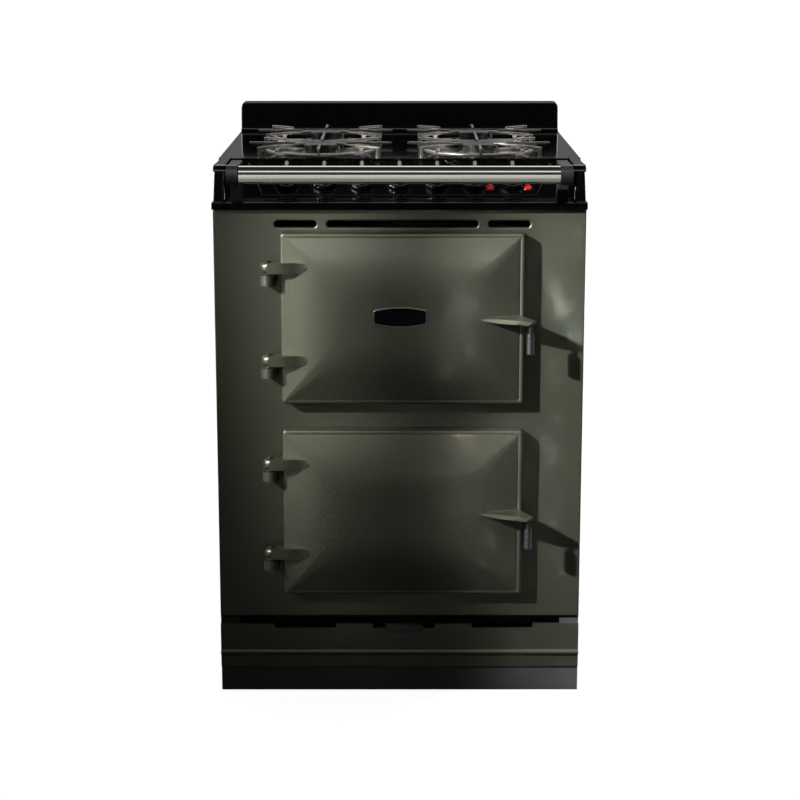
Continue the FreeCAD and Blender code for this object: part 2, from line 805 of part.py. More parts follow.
def make_insulation():
    """The wrap round each oven, open at the front, with room for the base element and the fan shaft."""
    wraps = []
    for oven, centre in OVENS.items():
        start = f"{PLATE_BACK} + liner_sheet"
        outside = box(f"{oven}_wrap_outside",
                      (f"door_shift - {INSULATION_HALF_WIDTH}", start, f"{centre} - {INSULATION_HALF_HEIGHT}"),
                      (f"2 * {INSULATION_HALF_WIDTH}", f"{OVEN_DEPTH} + insulation",
                       f"2 * {INSULATION_HALF_HEIGHT}"))
        tools = [box(f"{oven}_wrap_inside",
                     ("door_shift - mouth_width / 2 - liner_sheet", start,
                      f"{centre} - mouth_height / 2 - liner_sheet"),
                     ("mouth_width + 2 * liner_sheet", OVEN_DEPTH, "mouth_height + 2 * liner_sheet"))]
        if oven == "upper":
            tools.append(box("element_pocket_block",
                             ("door_shift - base_element_bend - 2 * element_radius",
                              f"{PLATE_BACK} + base_element_front - base_element_bend - 2 * element_radius",
                              f"{centre} - mouth_height / 2 - liner_sheet - element_pocket"),
                             ("2 * base_element_bend + 4 * element_radius",
                              f"{OVEN_DEPTH} - base_element_front + base_element_bend + 4 * element_radius",
                              "element_pocket")))
        else:
            tools.append(cylinder("wrap_shaft_hole", ("door_shift", OVEN_BACK, centre),
                                  "motor_nose + motor_play", "liner_sheet + insulation", "y"))
        wraps.append(cut(f"{oven}_wrap", outside, tools))
    return group("oven_insulation", wraps)


def make_oven_shelves():
    """A wire shelf in each oven: a frame and rods, resting on the middle ribs."""
    shelves = []
    for oven, centre in OVENS.items():
        width = "(mouth_width - 2 * shelf_play)"
        across = f"(door_shift - {width} / 2)"
        back = f"({PLATE_BACK} + shelf_setback)"
        bars = []
        for side, start in (("left", across), ("right", f"{across} + {width} - shelf_frame")):
            bars.append(box(f"{oven}_shelf_{side}", (start, back, centre),
                            ("shelf_frame", SHELF_DEPTH, "shelf_frame")))
        for end, start in (("front", back), ("rear", f"{back} + {SHELF_DEPTH} - shelf_frame")):
            bars.append(box(f"{oven}_shelf_{end}", (across, start, centre),
                            (width, "shelf_frame", "shelf_frame")))
        for rod in range(1, SHELF_RODS + 1):
            start = f"{across} + {width} * {rod} / {SHELF_RODS + 1} - shelf_rod / 2"
            bars.append(box(f"{oven}_shelf_rod_{rod}", (start, back, f"{centre} + shelf_frame - shelf_rod"),
                            ("shelf_rod", SHELF_DEPTH, "shelf_rod")))
        shelves.append(fuse(f"{oven}_shelf", bars))
    return group("oven_shelves", shelves)


def rod_along(name, steps):
    """A round rod along runs and half turns that follow each other in a level plane."""
    path = Part.Wire(steps)
    first = path.Edges[0]
    start = first.valueAt(first.FirstParameter)
    heading = first.tangentAt(first.FirstParameter)
    section = Part.Wire([Part.makeCircle(size("element_radius"), start, heading)])
    return path.makePipeShell([section], True, False)


def make_upper_oven_elements():
    """The grill element under the ceiling of the upper oven, and the base element under its floor."""
    oven_front = (size("rail_reach") - size("body_depth")) / 2 + size("plate_thickness")
    oven_back = oven_front + size("body_depth") - size("oven_back_space")
    middle = size("door_shift")
    ceiling = size("upper_oven_centre") + size("mouth_height") / 2
    level = ceiling - size("grill_drop")
    reach = oven_front + size("grill_front_gap")
    near = oven_back - size("grill_back")
    bend = size("grill_pitch") / 2
    first = middle - size("grill_pitch") * (GRILL_RUNS - 1) / 2
    lanes = [first + size("grill_pitch") * lane for lane in range(GRILL_RUNS)]
    edges = [Part.makeLine((lanes[0], oven_back, level), (lanes[0], reach, level))]
    for number, lane in enumerate(lanes[1:], 1):
        goes_back = number % 2 == 1
        turn = reach if goes_back else near
        side = -1 if goes_back else 1
        edges.append(Part.Arc(FreeCAD.Vector(lanes[number - 1], turn, level),
                              FreeCAD.Vector(lane - bend, turn + side * bend, level),
                              FreeCAD.Vector(lane, turn, level)).toShape())
        if number == GRILL_RUNS - 1:
            edges.append(Part.makeLine((lane, turn, level), (lane, oven_back, level)))
        else:
            edges.append(Part.makeLine((lane, turn, level), (lane, near if goes_back else reach, level)))
    rod = rod_along("grill_rod", edges)
    hangers = []
    for lane in (lanes[0], lanes[-1]):
        hangers.append(Part.makeBox(
            size("hanger_width"), size("hanger_depth"), size("grill_drop"),
            FreeCAD.Vector(lane - size("hanger_width") / 2, (reach + near) / 2, level)))
    grill = rod.fuse(hangers)

    bend = size("base_element_bend")
    floor = size("upper_oven_centre") - size("mouth_height") / 2 - size("liner_sheet")
    level = floor - size("element_play") - size("element_radius")
    turn = oven_front + size("base_element_front")
    base = rod_along("base_rod", [
        Part.makeLine((middle - bend, oven_back, level), (middle - bend, turn, level)),
        Part.Arc(FreeCAD.Vector(middle - bend, turn, level), FreeCAD.Vector(middle, turn - bend, level),
                 FreeCAD.Vector(middle + bend, turn, level)).toShape(),
        Part.makeLine((middle + bend, turn, level), (middle + bend, oven_back, level)),
    ])
    item = document.addObject("Part::Feature", "upper_oven_elements")
    item.Shape = Part.makeCompound([grill, base])
    return item


def make_fan_pieces():
    """Behind the baffle of the lower oven: the fan, the ring element and the motor outside the wall."""
    centre = "lower_oven_centre"
    hub_start = f"{OVEN_BACK} - fan_gap - fan_depth"
    disc = cylinder("fan_disc_plate", ("door_shift", f"{OVEN_BACK} - fan_gap - fan_disc", centre),
                    "fan_radius", "fan_disc", "y")
    hub = cylinder("fan_hub_boss", ("door_shift", hub_start, centre), "fan_hub", "fan_depth", "y")
    shaft = cylinder("fan_shaft_rod", ("door_shift", f"{OVEN_BACK} - fan_gap", centre), "fan_shaft_radius",
                     "fan_shaft", "y")
    blades = []
    for number in range(FAN_BLADES):
        blade = box(f"fan_blade_{number}", ("0", "0", "0"), ("blade_reach", "fan_depth", "fan_blade"))
        turn = FULL_TURN * number / FAN_BLADES
        blade.Placement.Rotation = FreeCAD.Rotation(FreeCAD.Vector(0, 1, 0), turn)
        inner = "(fan_radius - blade_reach)"
        lean = math.radians(turn)
        place(blade, (f"door_shift + {inner} * {math.cos(lean)}", hub_start,
                      f"{centre} - {inner} * {math.sin(lean)}"))
        blades.append(blade)
    fan = fuse("oven_fan", [disc, hub, shaft] + blades)

    ring = document.addObject("Part::Torus", "element_ring")
    bind(ring, Radius1=RING_ELEMENT_RADIUS, Radius2="element_radius")
    turned(ring, "y")
    place(ring, ("door_shift", f"{OVEN_BACK} - ring_element_leg", centre))
    lean = math.radians(LEG_ANGLE)
    legs = [
        cylinder(f"element_leg_{side}",
                 (f"door_shift + {side * math.cos(lean)} * {RING_ELEMENT_RADIUS}",
                  f"{OVEN_BACK} - ring_element_leg",
                  f"{centre} - {math.sin(lean)} * {RING_ELEMENT_RADIUS}"),
                 "element_leg_radius", "ring_element_leg", "y")
        for side in (-1, 1)
    ]
    element = fuse("ring_element", [ring] + legs)

    outside = box("baffle_outside",
                  (f"door_shift - {BAFFLE_WIDTH} / 2", f"{OVEN_BACK} - baffle_depth",
                   f"{centre} - {BAFFLE_HEIGHT} / 2"),
                  (BAFFLE_WIDTH, "baffle_depth", BAFFLE_HEIGHT))
    hollow = box("baffle_hollow",
                 (f"door_shift - {BAFFLE_WIDTH} / 2 + baffle_sheet",
                  f"{OVEN_BACK} - baffle_depth + baffle_sheet",
                  f"{centre} - {BAFFLE_HEIGHT} / 2 + baffle_sheet"),
                 (f"{BAFFLE_WIDTH} - 2 * baffle_sheet", "baffle_depth",
                  f"{BAFFLE_HEIGHT} - 2 * baffle_sheet"))
    intake = cylinder("baffle_intake", ("door_shift", f"{OVEN_BACK} - baffle_depth", centre), "baffle_hole",
                      "baffle_sheet", "y")
    baffle = cut("fan_baffle", outside, [hollow, intake])

    can = cylinder("motor_can", ("door_shift", INSULATION_BACK, centre), "motor_radius", "motor_length", "y")
    nose = cylinder("motor_nose_tube", ("door_shift", OVEN_BACK, centre), "motor_nose",
                    "liner_sheet + insulation", "y")
    bore = cylinder("motor_bore", ("door_shift", OVEN_BACK, centre), "fan_shaft_radius + motor_play",
                    "fan_shaft", "y")
    motor = cut("fan_motor", fuse("motor_blank", [can, nose]), [bore])
    return [fan, element, baffle, motor]


def make_door_seals():
    """A flat seal round each oven mouth, on the front plate."""
    seals = []
    for oven, centre in OVENS.items():
        half_width = "(mouth_width / 2 + seal_inset)"
        half_height = "(mouth_height / 2 + seal_inset)"
        outer = box(f"{oven}_seal_outside",
                    (f"door_shift - {half_width} - seal_width", f"{FRONT} - seal_height",
                     f"{centre} - {half_height} - seal_width"),
                    (f"2 * ({half_width} + seal_width)", "seal_height",
                     f"2 * ({half_height} + seal_width)"))
        inner = box(f"{oven}_seal_inside",
                    (f"door_shift - {half_width}", f"{FRONT} - seal_height", f"{centre} - {half_height}"),
                    (f"2 * {half_width}", "seal_height", f"2 * {half_height}"))
        seals.append(cut(f"{oven}_seal", outer, [inner]))
    return group("door_seals", seals)


def make_door_catches():
    """A magnetic strip beside each oven mouth that holds the door shut."""
    across = "door_shift + mouth_width / 2 + seal_inset + seal_width + catch_strip_gap"
    return group("door_catches", [
        box(f"{oven}_catch", (across, f"{FRONT} - seal_height", f"{centre} - catch_strip_height / 2"),
            ("catch_strip_width", "seal_height", "catch_strip_height"))
        for oven, centre in OVENS.items()
    ])


# Doors and hinges

DOOR_LEFT = "(door_shift - door_width / 2)"
DOOR_BACK = f"({FRONT} - door_gap)"
DOOR_FACE = "(door_gap + door_rim + door_crown)"
HINGE_GROUP_HEIGHT = "(arm_height + hinge_play + washer_height + knuckle_height)"


def hinge_levels(centre):
    """The foot of each of a door's two hinges."""
    return [f"({centre} + {sign} * hinge_offset - {HINGE_GROUP_HEIGHT} / 2)" for sign in (-1, 1)]


def door_blank(oven, centre):
    """The cast slab and its raised face, whose slopes run down to a rim all round."""
    low = f"({centre} - door_height / 2)"
    slab = box(f"{oven}_door_slab", (DOOR_LEFT, f"{DOOR_BACK} - door_rim", low),
               ("door_width", "door_rim", "door_height"))

    def rim(edge):
        outer = edge.BoundBox.Center.y < slab.Shape.BoundBox.Center.y - slab.Shape.BoundBox.YLength / 4
        return outer or runs_along(edge, "y")

    soft = rounded(f"{oven}_door_soft", slab, size("door_radius"), rim)
    crown = document.addObject("Part::Wedge", f"{oven}_door_crown")
    inset = "door_radius"
    bind(crown, Xmin=inset, Xmax=f"door_width - {inset}", X2min="door_bevel", X2max="door_width - door_bevel",
         Ymin="0", Ymax="door_crown", Zmin=inset, Zmax=f"door_height - {inset}", Z2min="door_bevel",
         Z2max="door_height - door_bevel")
    crown.Placement.Rotation = FreeCAD.Rotation(FreeCAD.Vector(0, 0, 1), HALF_TURN)
    place(crown, (f"{DOOR_LEFT} + door_width", f"{DOOR_BACK} - door_rim", low))
    return [soft, crown]


def door_arms(oven, centre):
    """Two hinge arms that grow out of the door's face and end in an eye round the hinge pin."""
    arms = []
    for number, foot in enumerate(hinge_levels(centre)):
        low = f"{foot} + knuckle_height + washer_height + hinge_play"
        back = f"{FRONT} - hinge_stand_off - arm_radius"
        arms.append(box(f"{oven}_arm_{number}", ("-hinge_side + door_shift", back, low),
                        ("arm_length", "2 * arm_radius", "arm_height")))
        arms.append(cylinder(f"{oven}_arm_eye_{number}",
                             ("-hinge_side + door_shift", f"{FRONT} - hinge_stand_off", low), "arm_radius",
                             "arm_height"))
    return arms


def door_fin(oven, centre):
    """The tapered handle fin that grows out of the face and overhangs the door's free edge."""
    tip = "(barrel_side + door_shift)"
    outline = (
        ("fin_root + door_shift", f"-{DOOR_FACE} + door_crown / 2"),
        (f"{tip} - 2 * barrel_radius", "-fin_stand_off"),
        (tip, "-fin_stand_off"),
        (tip, "-fin_stand_off + 2 * (fin_stand_off - barrel_stand_off)"),
        ("door_width / 2 + door_shift - door_radius", "-door_gap - door_rim + door_radius"),
        ("fin_root + door_shift", "-door_gap - door_rim"),
    )
    level = f"{centre} + fin_rise - fin_height / 2"
    blade = pad(f"{oven}_fin_blade", "XY_Plane", outline, "fin_height", ("0", FRONT, level))
    end = cylinder(f"{oven}_fin_end", (tip, f"{FRONT} - barrel_stand_off", level),
                   "fin_stand_off - barrel_stand_off", "fin_height")
    return [blade, end]


def make_door_casting(oven, centre):
    """A cast door with its arms and handle fin, hollow at the back."""
    whole = fuse(f"{oven}_door_whole",
                 door_blank(oven, centre) + door_arms(oven, centre) + door_fin(oven, centre))
    hollow = box(f"{oven}_door_hollow",
                 (f"{DOOR_LEFT} + door_wall", f"{DOOR_BACK} - door_hollow",
                  f"{centre} - door_height / 2 + door_wall"),
                 ("door_width - 2 * door_wall", "door_hollow", "door_height - 2 * door_wall"))
    bores = [
        cylinder(f"{oven}_arm_bore_{number}",
                 ("-hinge_side + door_shift", f"{FRONT} - hinge_stand_off", foot),
                 "pin_radius + pin_play", HINGE_GROUP_HEIGHT)
        for number, foot in enumerate(hinge_levels(centre))
    ]
    return cut(f"{oven}_door_casting", whole, [hollow] + bores)


def make_door_liner(oven, centre):
    """The inner sheet of a door, set in its back, with a tray that plugs the oven mouth."""
    sheet = box(f"{oven}_inner_sheet",
                (f"{DOOR_LEFT} + door_wall", f"{DOOR_BACK} - door_liner_sheet",
                 f"{centre} - door_height / 2 + door_wall"),
                ("door_width - 2 * door_wall", "door_liner_sheet", "door_height - 2 * door_wall"))
    half_width = "(mouth_width / 2 - door_plug_play)"
    half_height = "(mouth_height / 2 - door_plug_play)"
    plug = box(f"{oven}_plug", (f"door_shift - {half_width}", DOOR_BACK, f"{centre} - {half_height}"),
               (f"2 * {half_width}", "door_gap + door_plug", f"2 * {half_height}"))
    soft = rounded(f"{oven}_plug_soft", plug, size("door_radius"),
                   lambda edge: edge.BoundBox.Center.y > plug.Shape.BoundBox.Center.y)
    hollow = box(f"{oven}_plug_hollow",
                 (f"door_shift - {half_width} + door_radius", f"{DOOR_BACK} - door_liner_sheet",
                  f"{centre} - {half_height} + door_radius"),
                 (f"2 * ({half_width} - door_radius)", "door_gap + door_plug",
                  f"2 * ({half_height} - door_radius)"))
    return cut(f"{oven}_door_liner", fuse(f"{oven}_inner_whole", [sheet, soft]), [hollow])


def make_door_handle(oven, centre):
    """The chrome barrel that hangs from the fin on a thin neck."""
    across = "barrel_side + door_shift"
    back = f"{FRONT} - barrel_stand_off"
    top = f"{centre} + fin_rise - fin_height / 2"
    neck = cylinder(f"{oven}_handle_neck", (across, back, f"{top} - barrel_drop"), "neck_radius", "barrel_drop")
    barrel = cylinder(f"{oven}_handle_barrel", (across, back, f"{top} - barrel_drop - barrel_length"),
                      "barrel_radius", "barrel_length")

    def end_rim(edge):
        return not runs_along(edge, "z")

    soft = rounded(f"{oven}_handle_soft", barrel, size("barrel_radius") / 5, end_rim)
    return fuse(f"{oven}_door_handle", [soft, neck])


def make_badge_plate():
    """A plain oblong plate with arched long sides, on the middle of the upper door."""
    arch = "(badge_height - badge_end_height) / 2"
    radius = f"(((badge_width / 2) ^ 2 + ({arch}) ^ 2) / (2 * ({arch})))"
    across = "door_shift + badge_shift"
    middle = "(upper_oven_centre + badge_rise)"
    back = f"{FRONT} - {DOOR_FACE} - badge_thickness"
    block = box("badge_block", (f"{across} - badge_width / 2", back, f"{middle} - badge_height / 2"),
                ("badge_width", "badge_thickness", "badge_height"))
    arches = [
        cylinder(f"badge_arch_{sign}", (across, back, f"{middle} + {sign} * (badge_height / 2 - {radius})"),
                 radius, "badge_thickness", "y")
        for sign in (-1, 1)
    ]
    return common("badge_plate", [block] + arches)


def make_hinge_pieces():
    """On the body, for each hinge: a knuckle, and a headed pin through it with a washer on it."""
    knuckles = []
    pins = []
    across = "-hinge_side + door_shift"
    back = f"{FRONT} - hinge_stand_off"
    for oven, centre in OVENS.items():
        for number, foot in enumerate(hinge_levels(centre)):
            name = f"{oven}_{number}"
            block = box(f"knuckle_block_{name}", (f"{across} - knuckle_radius", back, foot),
                        ("2 * knuckle_radius", "hinge_stand_off", "knuckle_height"))
            eye = cylinder(f"knuckle_eye_{name}", (across, back, foot), "knuckle_radius", "knuckle_height")
            bore = cylinder(f"knuckle_bore_{name}", (across, back, foot), "pin_radius", "knuckle_height")
            knuckles.append(cut(f"knuckle_{name}", fuse(f"knuckle_whole_{name}", [block, eye]), [bore]))
            rod = cylinder(f"pin_rod_{name}", (across, back, foot), "pin_radius",
                           f"{HINGE_GROUP_HEIGHT} + hinge_play")
            head = cylinder(f"pin_head_{name}", (across, back, f"{foot} + {HINGE_GROUP_HEIGHT} + hinge_play"),
                            "pin_head_radius", "pin_head_height")
            washer = cylinder(f"pin_washer_{name}", (across, back, f"{foot} + knuckle_height"),
                              "washer_radius", "washer_height")
            pins.append(fuse(f"hinge_pin_{name}", [rod, head, washer]))
    return [group("hinge_knuckles", knuckles), group("hinge_pins", pins)]


# Hob


def make_hob_surround():
    """The frame between body and hob, whose lip stands a little forward of the body."""
    outer = box("surround_outside", (f"-{HALF_WIDTH} - lip_overhang", f"{FRONT} - lip_reach", "plate_top"),
                ("body_width + 2 * lip_overhang", "body_depth + lip_reach", "lip_height"))
    inner = box("surround_inside", (f"surround_side - {HALF_WIDTH}", f"{FRONT} + fascia_start", "plate_top"),
                ("body_width - 2 * surround_side", "body_depth - fascia_start - surround_side", "lip_height"))

    def front_edge(edge):
        return edge.BoundBox.Center.y < outer.Shape.BoundBox.Center.y and not runs_along(edge, "y")

    soft = rounded("surround_soft", outer, size("hob_edge_radius"), front_edge)
    return cut("hob_surround", soft, [inner])


def burner_places():
    """The middle of each burner on the hob."""
    return [(f"{sign} * burner_side", f"{FRONT_BURNER} + {row} * {BURNER_PITCH}")
            for sign in (-1, 1) for row in (0, 1)]


def make_hob_top():
    """The enamelled hob: a level sheet with skirts, and two ears that frame the control panel."""
    start = f"({FRONT} + fascia_start + fascia_run)"
    top = box("hob_sheet_top", (f"-{HALF_WIDTH}", start, HOB_UNDERSIDE),
              ("body_width", f"{BACK} - {start}", "hob_sheet"))
    skirts = [
        box(f"hob_skirt_{side}", (edge, start, LIP_TOP),
            ("hob_sheet", f"{BACK} - {start}", f"{HOB_HEIGHT} - {LIP_TOP}"))
        for side, edge in (("left", f"-{HALF_WIDTH}"), ("right", f"{HALF_WIDTH} - hob_sheet"))
    ]
    skirts.append(box("hob_skirt_rear", (f"-{HALF_WIDTH}", f"{BACK} - hob_sheet", LIP_TOP),
                      ("body_width", "hob_sheet", f"{HOB_HEIGHT} - {LIP_TOP}")))
    outline = (
        ("ear_toe", LIP_TOP),
        ("ear_crest", HOB_HEIGHT),
        ("ear_back", HOB_HEIGHT),
        ("ear_back", LIP_TOP),
    )

    def crest(edge):
        reach = edge.BoundBox
        return runs_along(edge, "x") and reach.Center.z > size("plate_top") + size("lip_height") * 2 \
            and reach.Center.y < 0

    def side_rim(edge):
        reach = edge.BoundBox
        return reach.XLength < edge.Length / 2 and reach.ZMax > size("plate_top") + size("lip_height") * 2 \
            and not runs_along(edge, "z")

    ears = []
    for side, edge in (("left", f"-{HALF_WIDTH}"), ("right", f"{HALF_WIDTH} - ear_width")):
        ear = pad(f"ear_{side}_blank", "YZ_Plane", outline, "ear_width", (edge, FRONT, "0"))
        crested = rounded(f"ear_{side}_crested", ear, size("ear_radius"), crest)
        ears.append(rounded(f"ear_{side}", crested, size("hob_edge_radius"), side_rim))
    whole = fuse("hob_top_whole", [top] + skirts + ears)
    holes = [
        cylinder(f"hob_hole_{number}", (across, back, HOB_UNDERSIDE), "burner_hole", "hob_sheet")
        for number, (across, back) in enumerate(burner_places())
    ]
    return cut("hob_top", whole, holes)


def make_control_panel():
    """The sloped panel between the ears, with a raised plate and a hole for each control."""
    half = f"({HALF_WIDTH} - ear_width - fascia_play)"
    sheet = fascia_box("fascia_sheet_blank", f"-{half}", "0", "-fascia_sheet",
                       (f"2 * {half}", FASCIA_LENGTH, "fascia_sheet"))
    raised = document.addObject("Part::Wedge", "fascia_raised")
    low_width = f"2 * ({HALF_WIDTH} - raised_low_inset)"
    spread = "(raised_low_inset - raised_high_inset)"
    bind(raised, Xmin="0", Xmax=low_width, X2min=f"-{spread}", X2max=f"{low_width} + {spread}",
         Ymin="0", Ymax=f"{FASCIA_LENGTH} - 2 * raised_margin",
         Zmin="0", Zmax="raised_plate", Z2min="0", Z2max="raised_plate")
    on_fascia(raised, f"raised_low_inset - {HALF_WIDTH}", "raised_margin", "0")
    holes = [
        fascia_cylinder(f"fascia_hole_{knob}", knob_across(knob), "knob_slope_place", "-fascia_sheet",
                        "spindle_radius + 2 * spindle_play", "fascia_sheet + raised_plate")
        for knob in range(1, KNOB_COUNT + 1)
    ]
    holes += [
        fascia_cylinder(f"fascia_neon_hole_{knob}", f"{knob_across(knob)} + neon_shift",
                        "knob_slope_place - neon_drop", "-fascia_sheet", "neon_body_radius + spindle_play",
                        "fascia_sheet + raised_plate")
        for knob in oven_knobs()
    ]
    return cut("control_panel", fuse("fascia_whole", [sheet, raised]), holes)


def make_splashback():
    """The hollow upstand at the back of the hob, with a cove at its foot and rounded top corners."""
    outline = (
        ("0", "0"),
        ("0", "splash_height"),
        ("-splash_top", "splash_height"),
        ("-splash_base", "splash_cove + splash_lip"),
        ("-splash_base - splash_cove", "splash_cove + splash_lip"),
        ("-splash_base - splash_cove", "0"),
    )
    block = pad("splash_block", "YZ_Plane", outline, "body_width", (f"-{HALF_WIDTH}", BACK, HOB_HEIGHT))
    cove = cylinder("splash_cove_round",
                    (f"-{HALF_WIDTH}", f"{BACK} - splash_base - splash_cove",
                     f"{HOB_HEIGHT} + splash_lip + splash_cove"),
                    "splash_cove", "body_width", "x")
    blank = cut("splash_blank", block, [cove])


    def top_corner(edge):
        return runs_along(edge, "y") and edge.BoundBox.Center.z > blank.Shape.BoundBox.Center.z

    soft = rounded("splash_soft", blank, size("splash_radius"), top_corner)
    hollow = box("splash_hollow",
                 (f"splash_wall - {HALF_WIDTH}", f"{BACK} - splash_top + splash_wall", HOB_HEIGHT),
                 ("body_width - 2 * splash_wall", "splash_top - 2 * splash_wall",
                  "splash_height - splash_wall"))
    return cut("splashback", soft, [hollow])


def make_burner_pieces():
    """Four burners: bodies under the hob, crowns on them, spark electrodes beside, and loose caps."""
    bodies = []
    crowns = []
    electrodes = []
    caps = []
    boss_top = f"({HOB_HEIGHT} + burner_rise)"
    for name, (across, back) in zip(BURNER_NAMES, burner_places()):
        flange_low = f"{HOB_UNDERSIDE} - burner_flange"
        flange = cylinder(f"flange_{name}", (across, back, flange_low), "burner_flange_radius",
                          "burner_flange")
        boss = cylinder(f"boss_{name}", (across, back, HOB_UNDERSIDE), "burner_boss", "hob_sheet + burner_rise")
        mixer = cylinder(f"mixer_{name}", (across, back, f"{flange_low} - mixer_length"), "mixer_radius",
                         "mixer_length")
        bodies.append(fuse(f"burner_body_{name}", [flange, boss, mixer]))
        ring = cylinder(f"crown_ring_{name}", (across, back, boss_top), "crown_radius", "crown_height")
        bore = cylinder(f"crown_bore_{name}", (across, back, boss_top), "crown_bore", "crown_height")
        crowns.append(cut(f"crown_{name}", ring, [bore]))
        side = f"{across} + electrode_place"
        electrodes.append(cylinder(f"electrode_{name}", (side, back, boss_top), "electrode_radius",
                                   "electrode_height"))
        seat = f"({boss_top} + crown_height)"
        rim = cylinder(f"cap_rim_{name}", (across, back, seat), "cap_radius", "cap_rim")
        dome = cone(f"cap_dome_{name}", (across, back, f"{seat} + cap_rim"), "cap_radius", "cap_top_radius",
                    "cap_dome")
        spigot = cylinder(f"cap_spigot_{name}", (across, back, f"{seat} - spigot_depth"), "spigot_radius",
                          "spigot_depth")
        caps.append(fuse(f"burner_cap_{name}", [rim, dome, spigot]))
    return [group("burner_bodies", bodies), group("burner_crowns", crowns),
            group("spark_electrodes", electrodes)] + caps


def support_bar(name, across, back, inner, outer, turn):
    """A bar of a pan support that points away from a burner's middle."""
    top = f"({HOB_HEIGHT} + support_top)"
    bar = box(name, ("0", "0", "0"), (f"{outer} - {inner}", "bar_width", "bar_height"))
    bar.Placement.Rotation = FreeCAD.Rotation(FreeCAD.Vector(0, 0, 1), turn)
    lean = math.radians(turn)
    along = f"({inner})"
    place(bar, (f"{across} + {along} * {math.cos(lean)} + bar_width / 2 * {math.sin(lean)}",
                f"{back} + {along} * {math.sin(lean)} - bar_width / 2 * {math.cos(lean)}",
                f"{top} - bar_height"))
    return bar


def support_foot(name, across, back, reach, turn):
    """A foot of a pan support, down to the hob, at a distance from a burner's middle."""
    lean = math.radians(turn)
    return box(name, (f"{across} + {reach} * {math.cos(lean)} - support_foot / 2",
                      f"{back} + {reach} * {math.sin(lean)} - support_foot / 2", HOB_HEIGHT),
               ("support_foot", "support_foot", "support_top - bar_height / 2"))


def make_pan_support(side, sign):
    """A cast support over two burners: a ring with fingers and braces round each, on small feet."""
    bars = []
    across = f"{sign} * burner_side"
    brace = size("brace_angle")
    turns = (0, HALF_TURN)
    corners = (brace, HALF_TURN - brace, HALF_TURN + brace, -brace)
    for row, end in enumerate(("front", "rear")):
        back = f"({FRONT_BURNER} + {row} * {BURNER_PITCH})"
        outside = cylinder(f"ring_outside_{side}_{end}", (across, back, f"{HOB_HEIGHT} + ring_rise"),
                           "ring_radius + bar_width / 2", "ring_height")
        inside = cylinder(f"ring_inside_{side}_{end}", (across, back, f"{HOB_HEIGHT} + ring_rise"),
                          "ring_radius - bar_width / 2", "ring_height")
        bars.append(cut(f"support_ring_{side}_{end}", outside, [inside]))
        for turn in turns:
            bars.append(support_bar(f"finger_{side}_{end}_{turn}", across, back, "finger_inner",
                                    "finger_outer", turn))
        for number, turn in enumerate(corners):
            bars.append(support_bar(f"brace_{side}_{end}_{number}", across, back, "brace_inner",
                                    "brace_outer", turn))
            bars.append(support_foot(f"foot_{side}_{end}_{number}", across, back,
                                     "(brace_outer - support_foot / 2)", turn))
        outward = -QUARTER_TURN if row == 0 else QUARTER_TURN
        bars.append(support_bar(f"end_finger_{side}_{end}", across, back, "finger_inner",
                                "short_finger_outer", outward))
    bars.append(support_bar(f"middle_bar_{side}", across, FRONT_BURNER, "finger_inner",
                            f"({BURNER_PITCH} - finger_inner)", QUARTER_TURN))
    return fuse(f"pan_support_{side}", bars)


# Controls


def knob_across(knob):
    """How far a control stands to the right of the middle one."""
    return f"({knob - MIDDLE_KNOB} * knob_pitch)"


def oven_knobs():
    """The two controls at the right that serve the ovens."""
    return (KNOB_COUNT - 1, KNOB_COUNT)


def knob_solids(name, across):
    """The skirt, hub and grip bar of a knob."""
    base = "(raised_plate + knob_gap)"
    skirt = fascia_cylinder(f"{name}_skirt", across, "knob_slope_place", base, "knob_radius", "knob_skirt")
    hub = on_fascia(cone(f"{name}_hub", ("0", "0", "0"), "knob_hub_low", "knob_hub_high", "knob_hub"),
                    across, "knob_slope_place", f"{base} + knob_skirt")
    grip = fascia_box(f"{name}_grip", f"{across} - grip_width / 2", "knob_slope_place - grip_length / 2",
                      f"{base} + knob_skirt", ("grip_width", "grip_length", "knob_height - knob_skirt"))
    return [skirt, hub, grip]


def make_gas_controls():
    """For each gas burner: a tap under the panel, its spindle, and a knob that slides on the spindle."""
    taps = []
    spindles = []
    knobs = []
    for knob in GAS_KNOBS:
        across = knob_across(knob)
        low = "-fascia_sheet - tap_nose - tap_height"
        block = fascia_box(f"tap_block_{knob}", f"{across} - tap_width / 2",
                           "knob_slope_place - tap_length / 2", low, ("tap_width", "tap_length", "tap_height"))
        nose = fascia_cylinder(f"tap_nose_{knob}", across, "knob_slope_place", "-fascia_sheet - tap_nose",
                               "tap_nose_radius", "tap_nose")
        bore = fascia_cylinder(f"tap_bore_{knob}", across, "knob_slope_place",
                               "-fascia_sheet - tap_nose - spindle_depth", "spindle_radius + spindle_play",
                               "tap_nose + spindle_depth")
        taps.append(cut(f"gas_tap_{knob}", fuse(f"tap_whole_{knob}", [block, nose]), [bore]))
        start = "(spindle_play - fascia_sheet - tap_nose - spindle_depth)"
        spindles.append(fascia_cylinder(f"tap_spindle_{knob}", across, "knob_slope_place", start,
                                        "spindle_radius",
                                        f"raised_plate + knob_gap + spindle_grip - {start}"))
        solids = knob_solids(f"gas_knob_{knob}", across)
        knob_bore = fascia_cylinder(f"knob_bore_{knob}", across, "knob_slope_place",
                                    "raised_plate + knob_gap", "spindle_radius + spindle_play", "knob_bore")
        knobs.append(cut(f"hob_knob_{knob}", fuse(f"knob_whole_{knob}", solids), [knob_bore]))
    return [group("gas_taps", taps)] + spindles + knobs


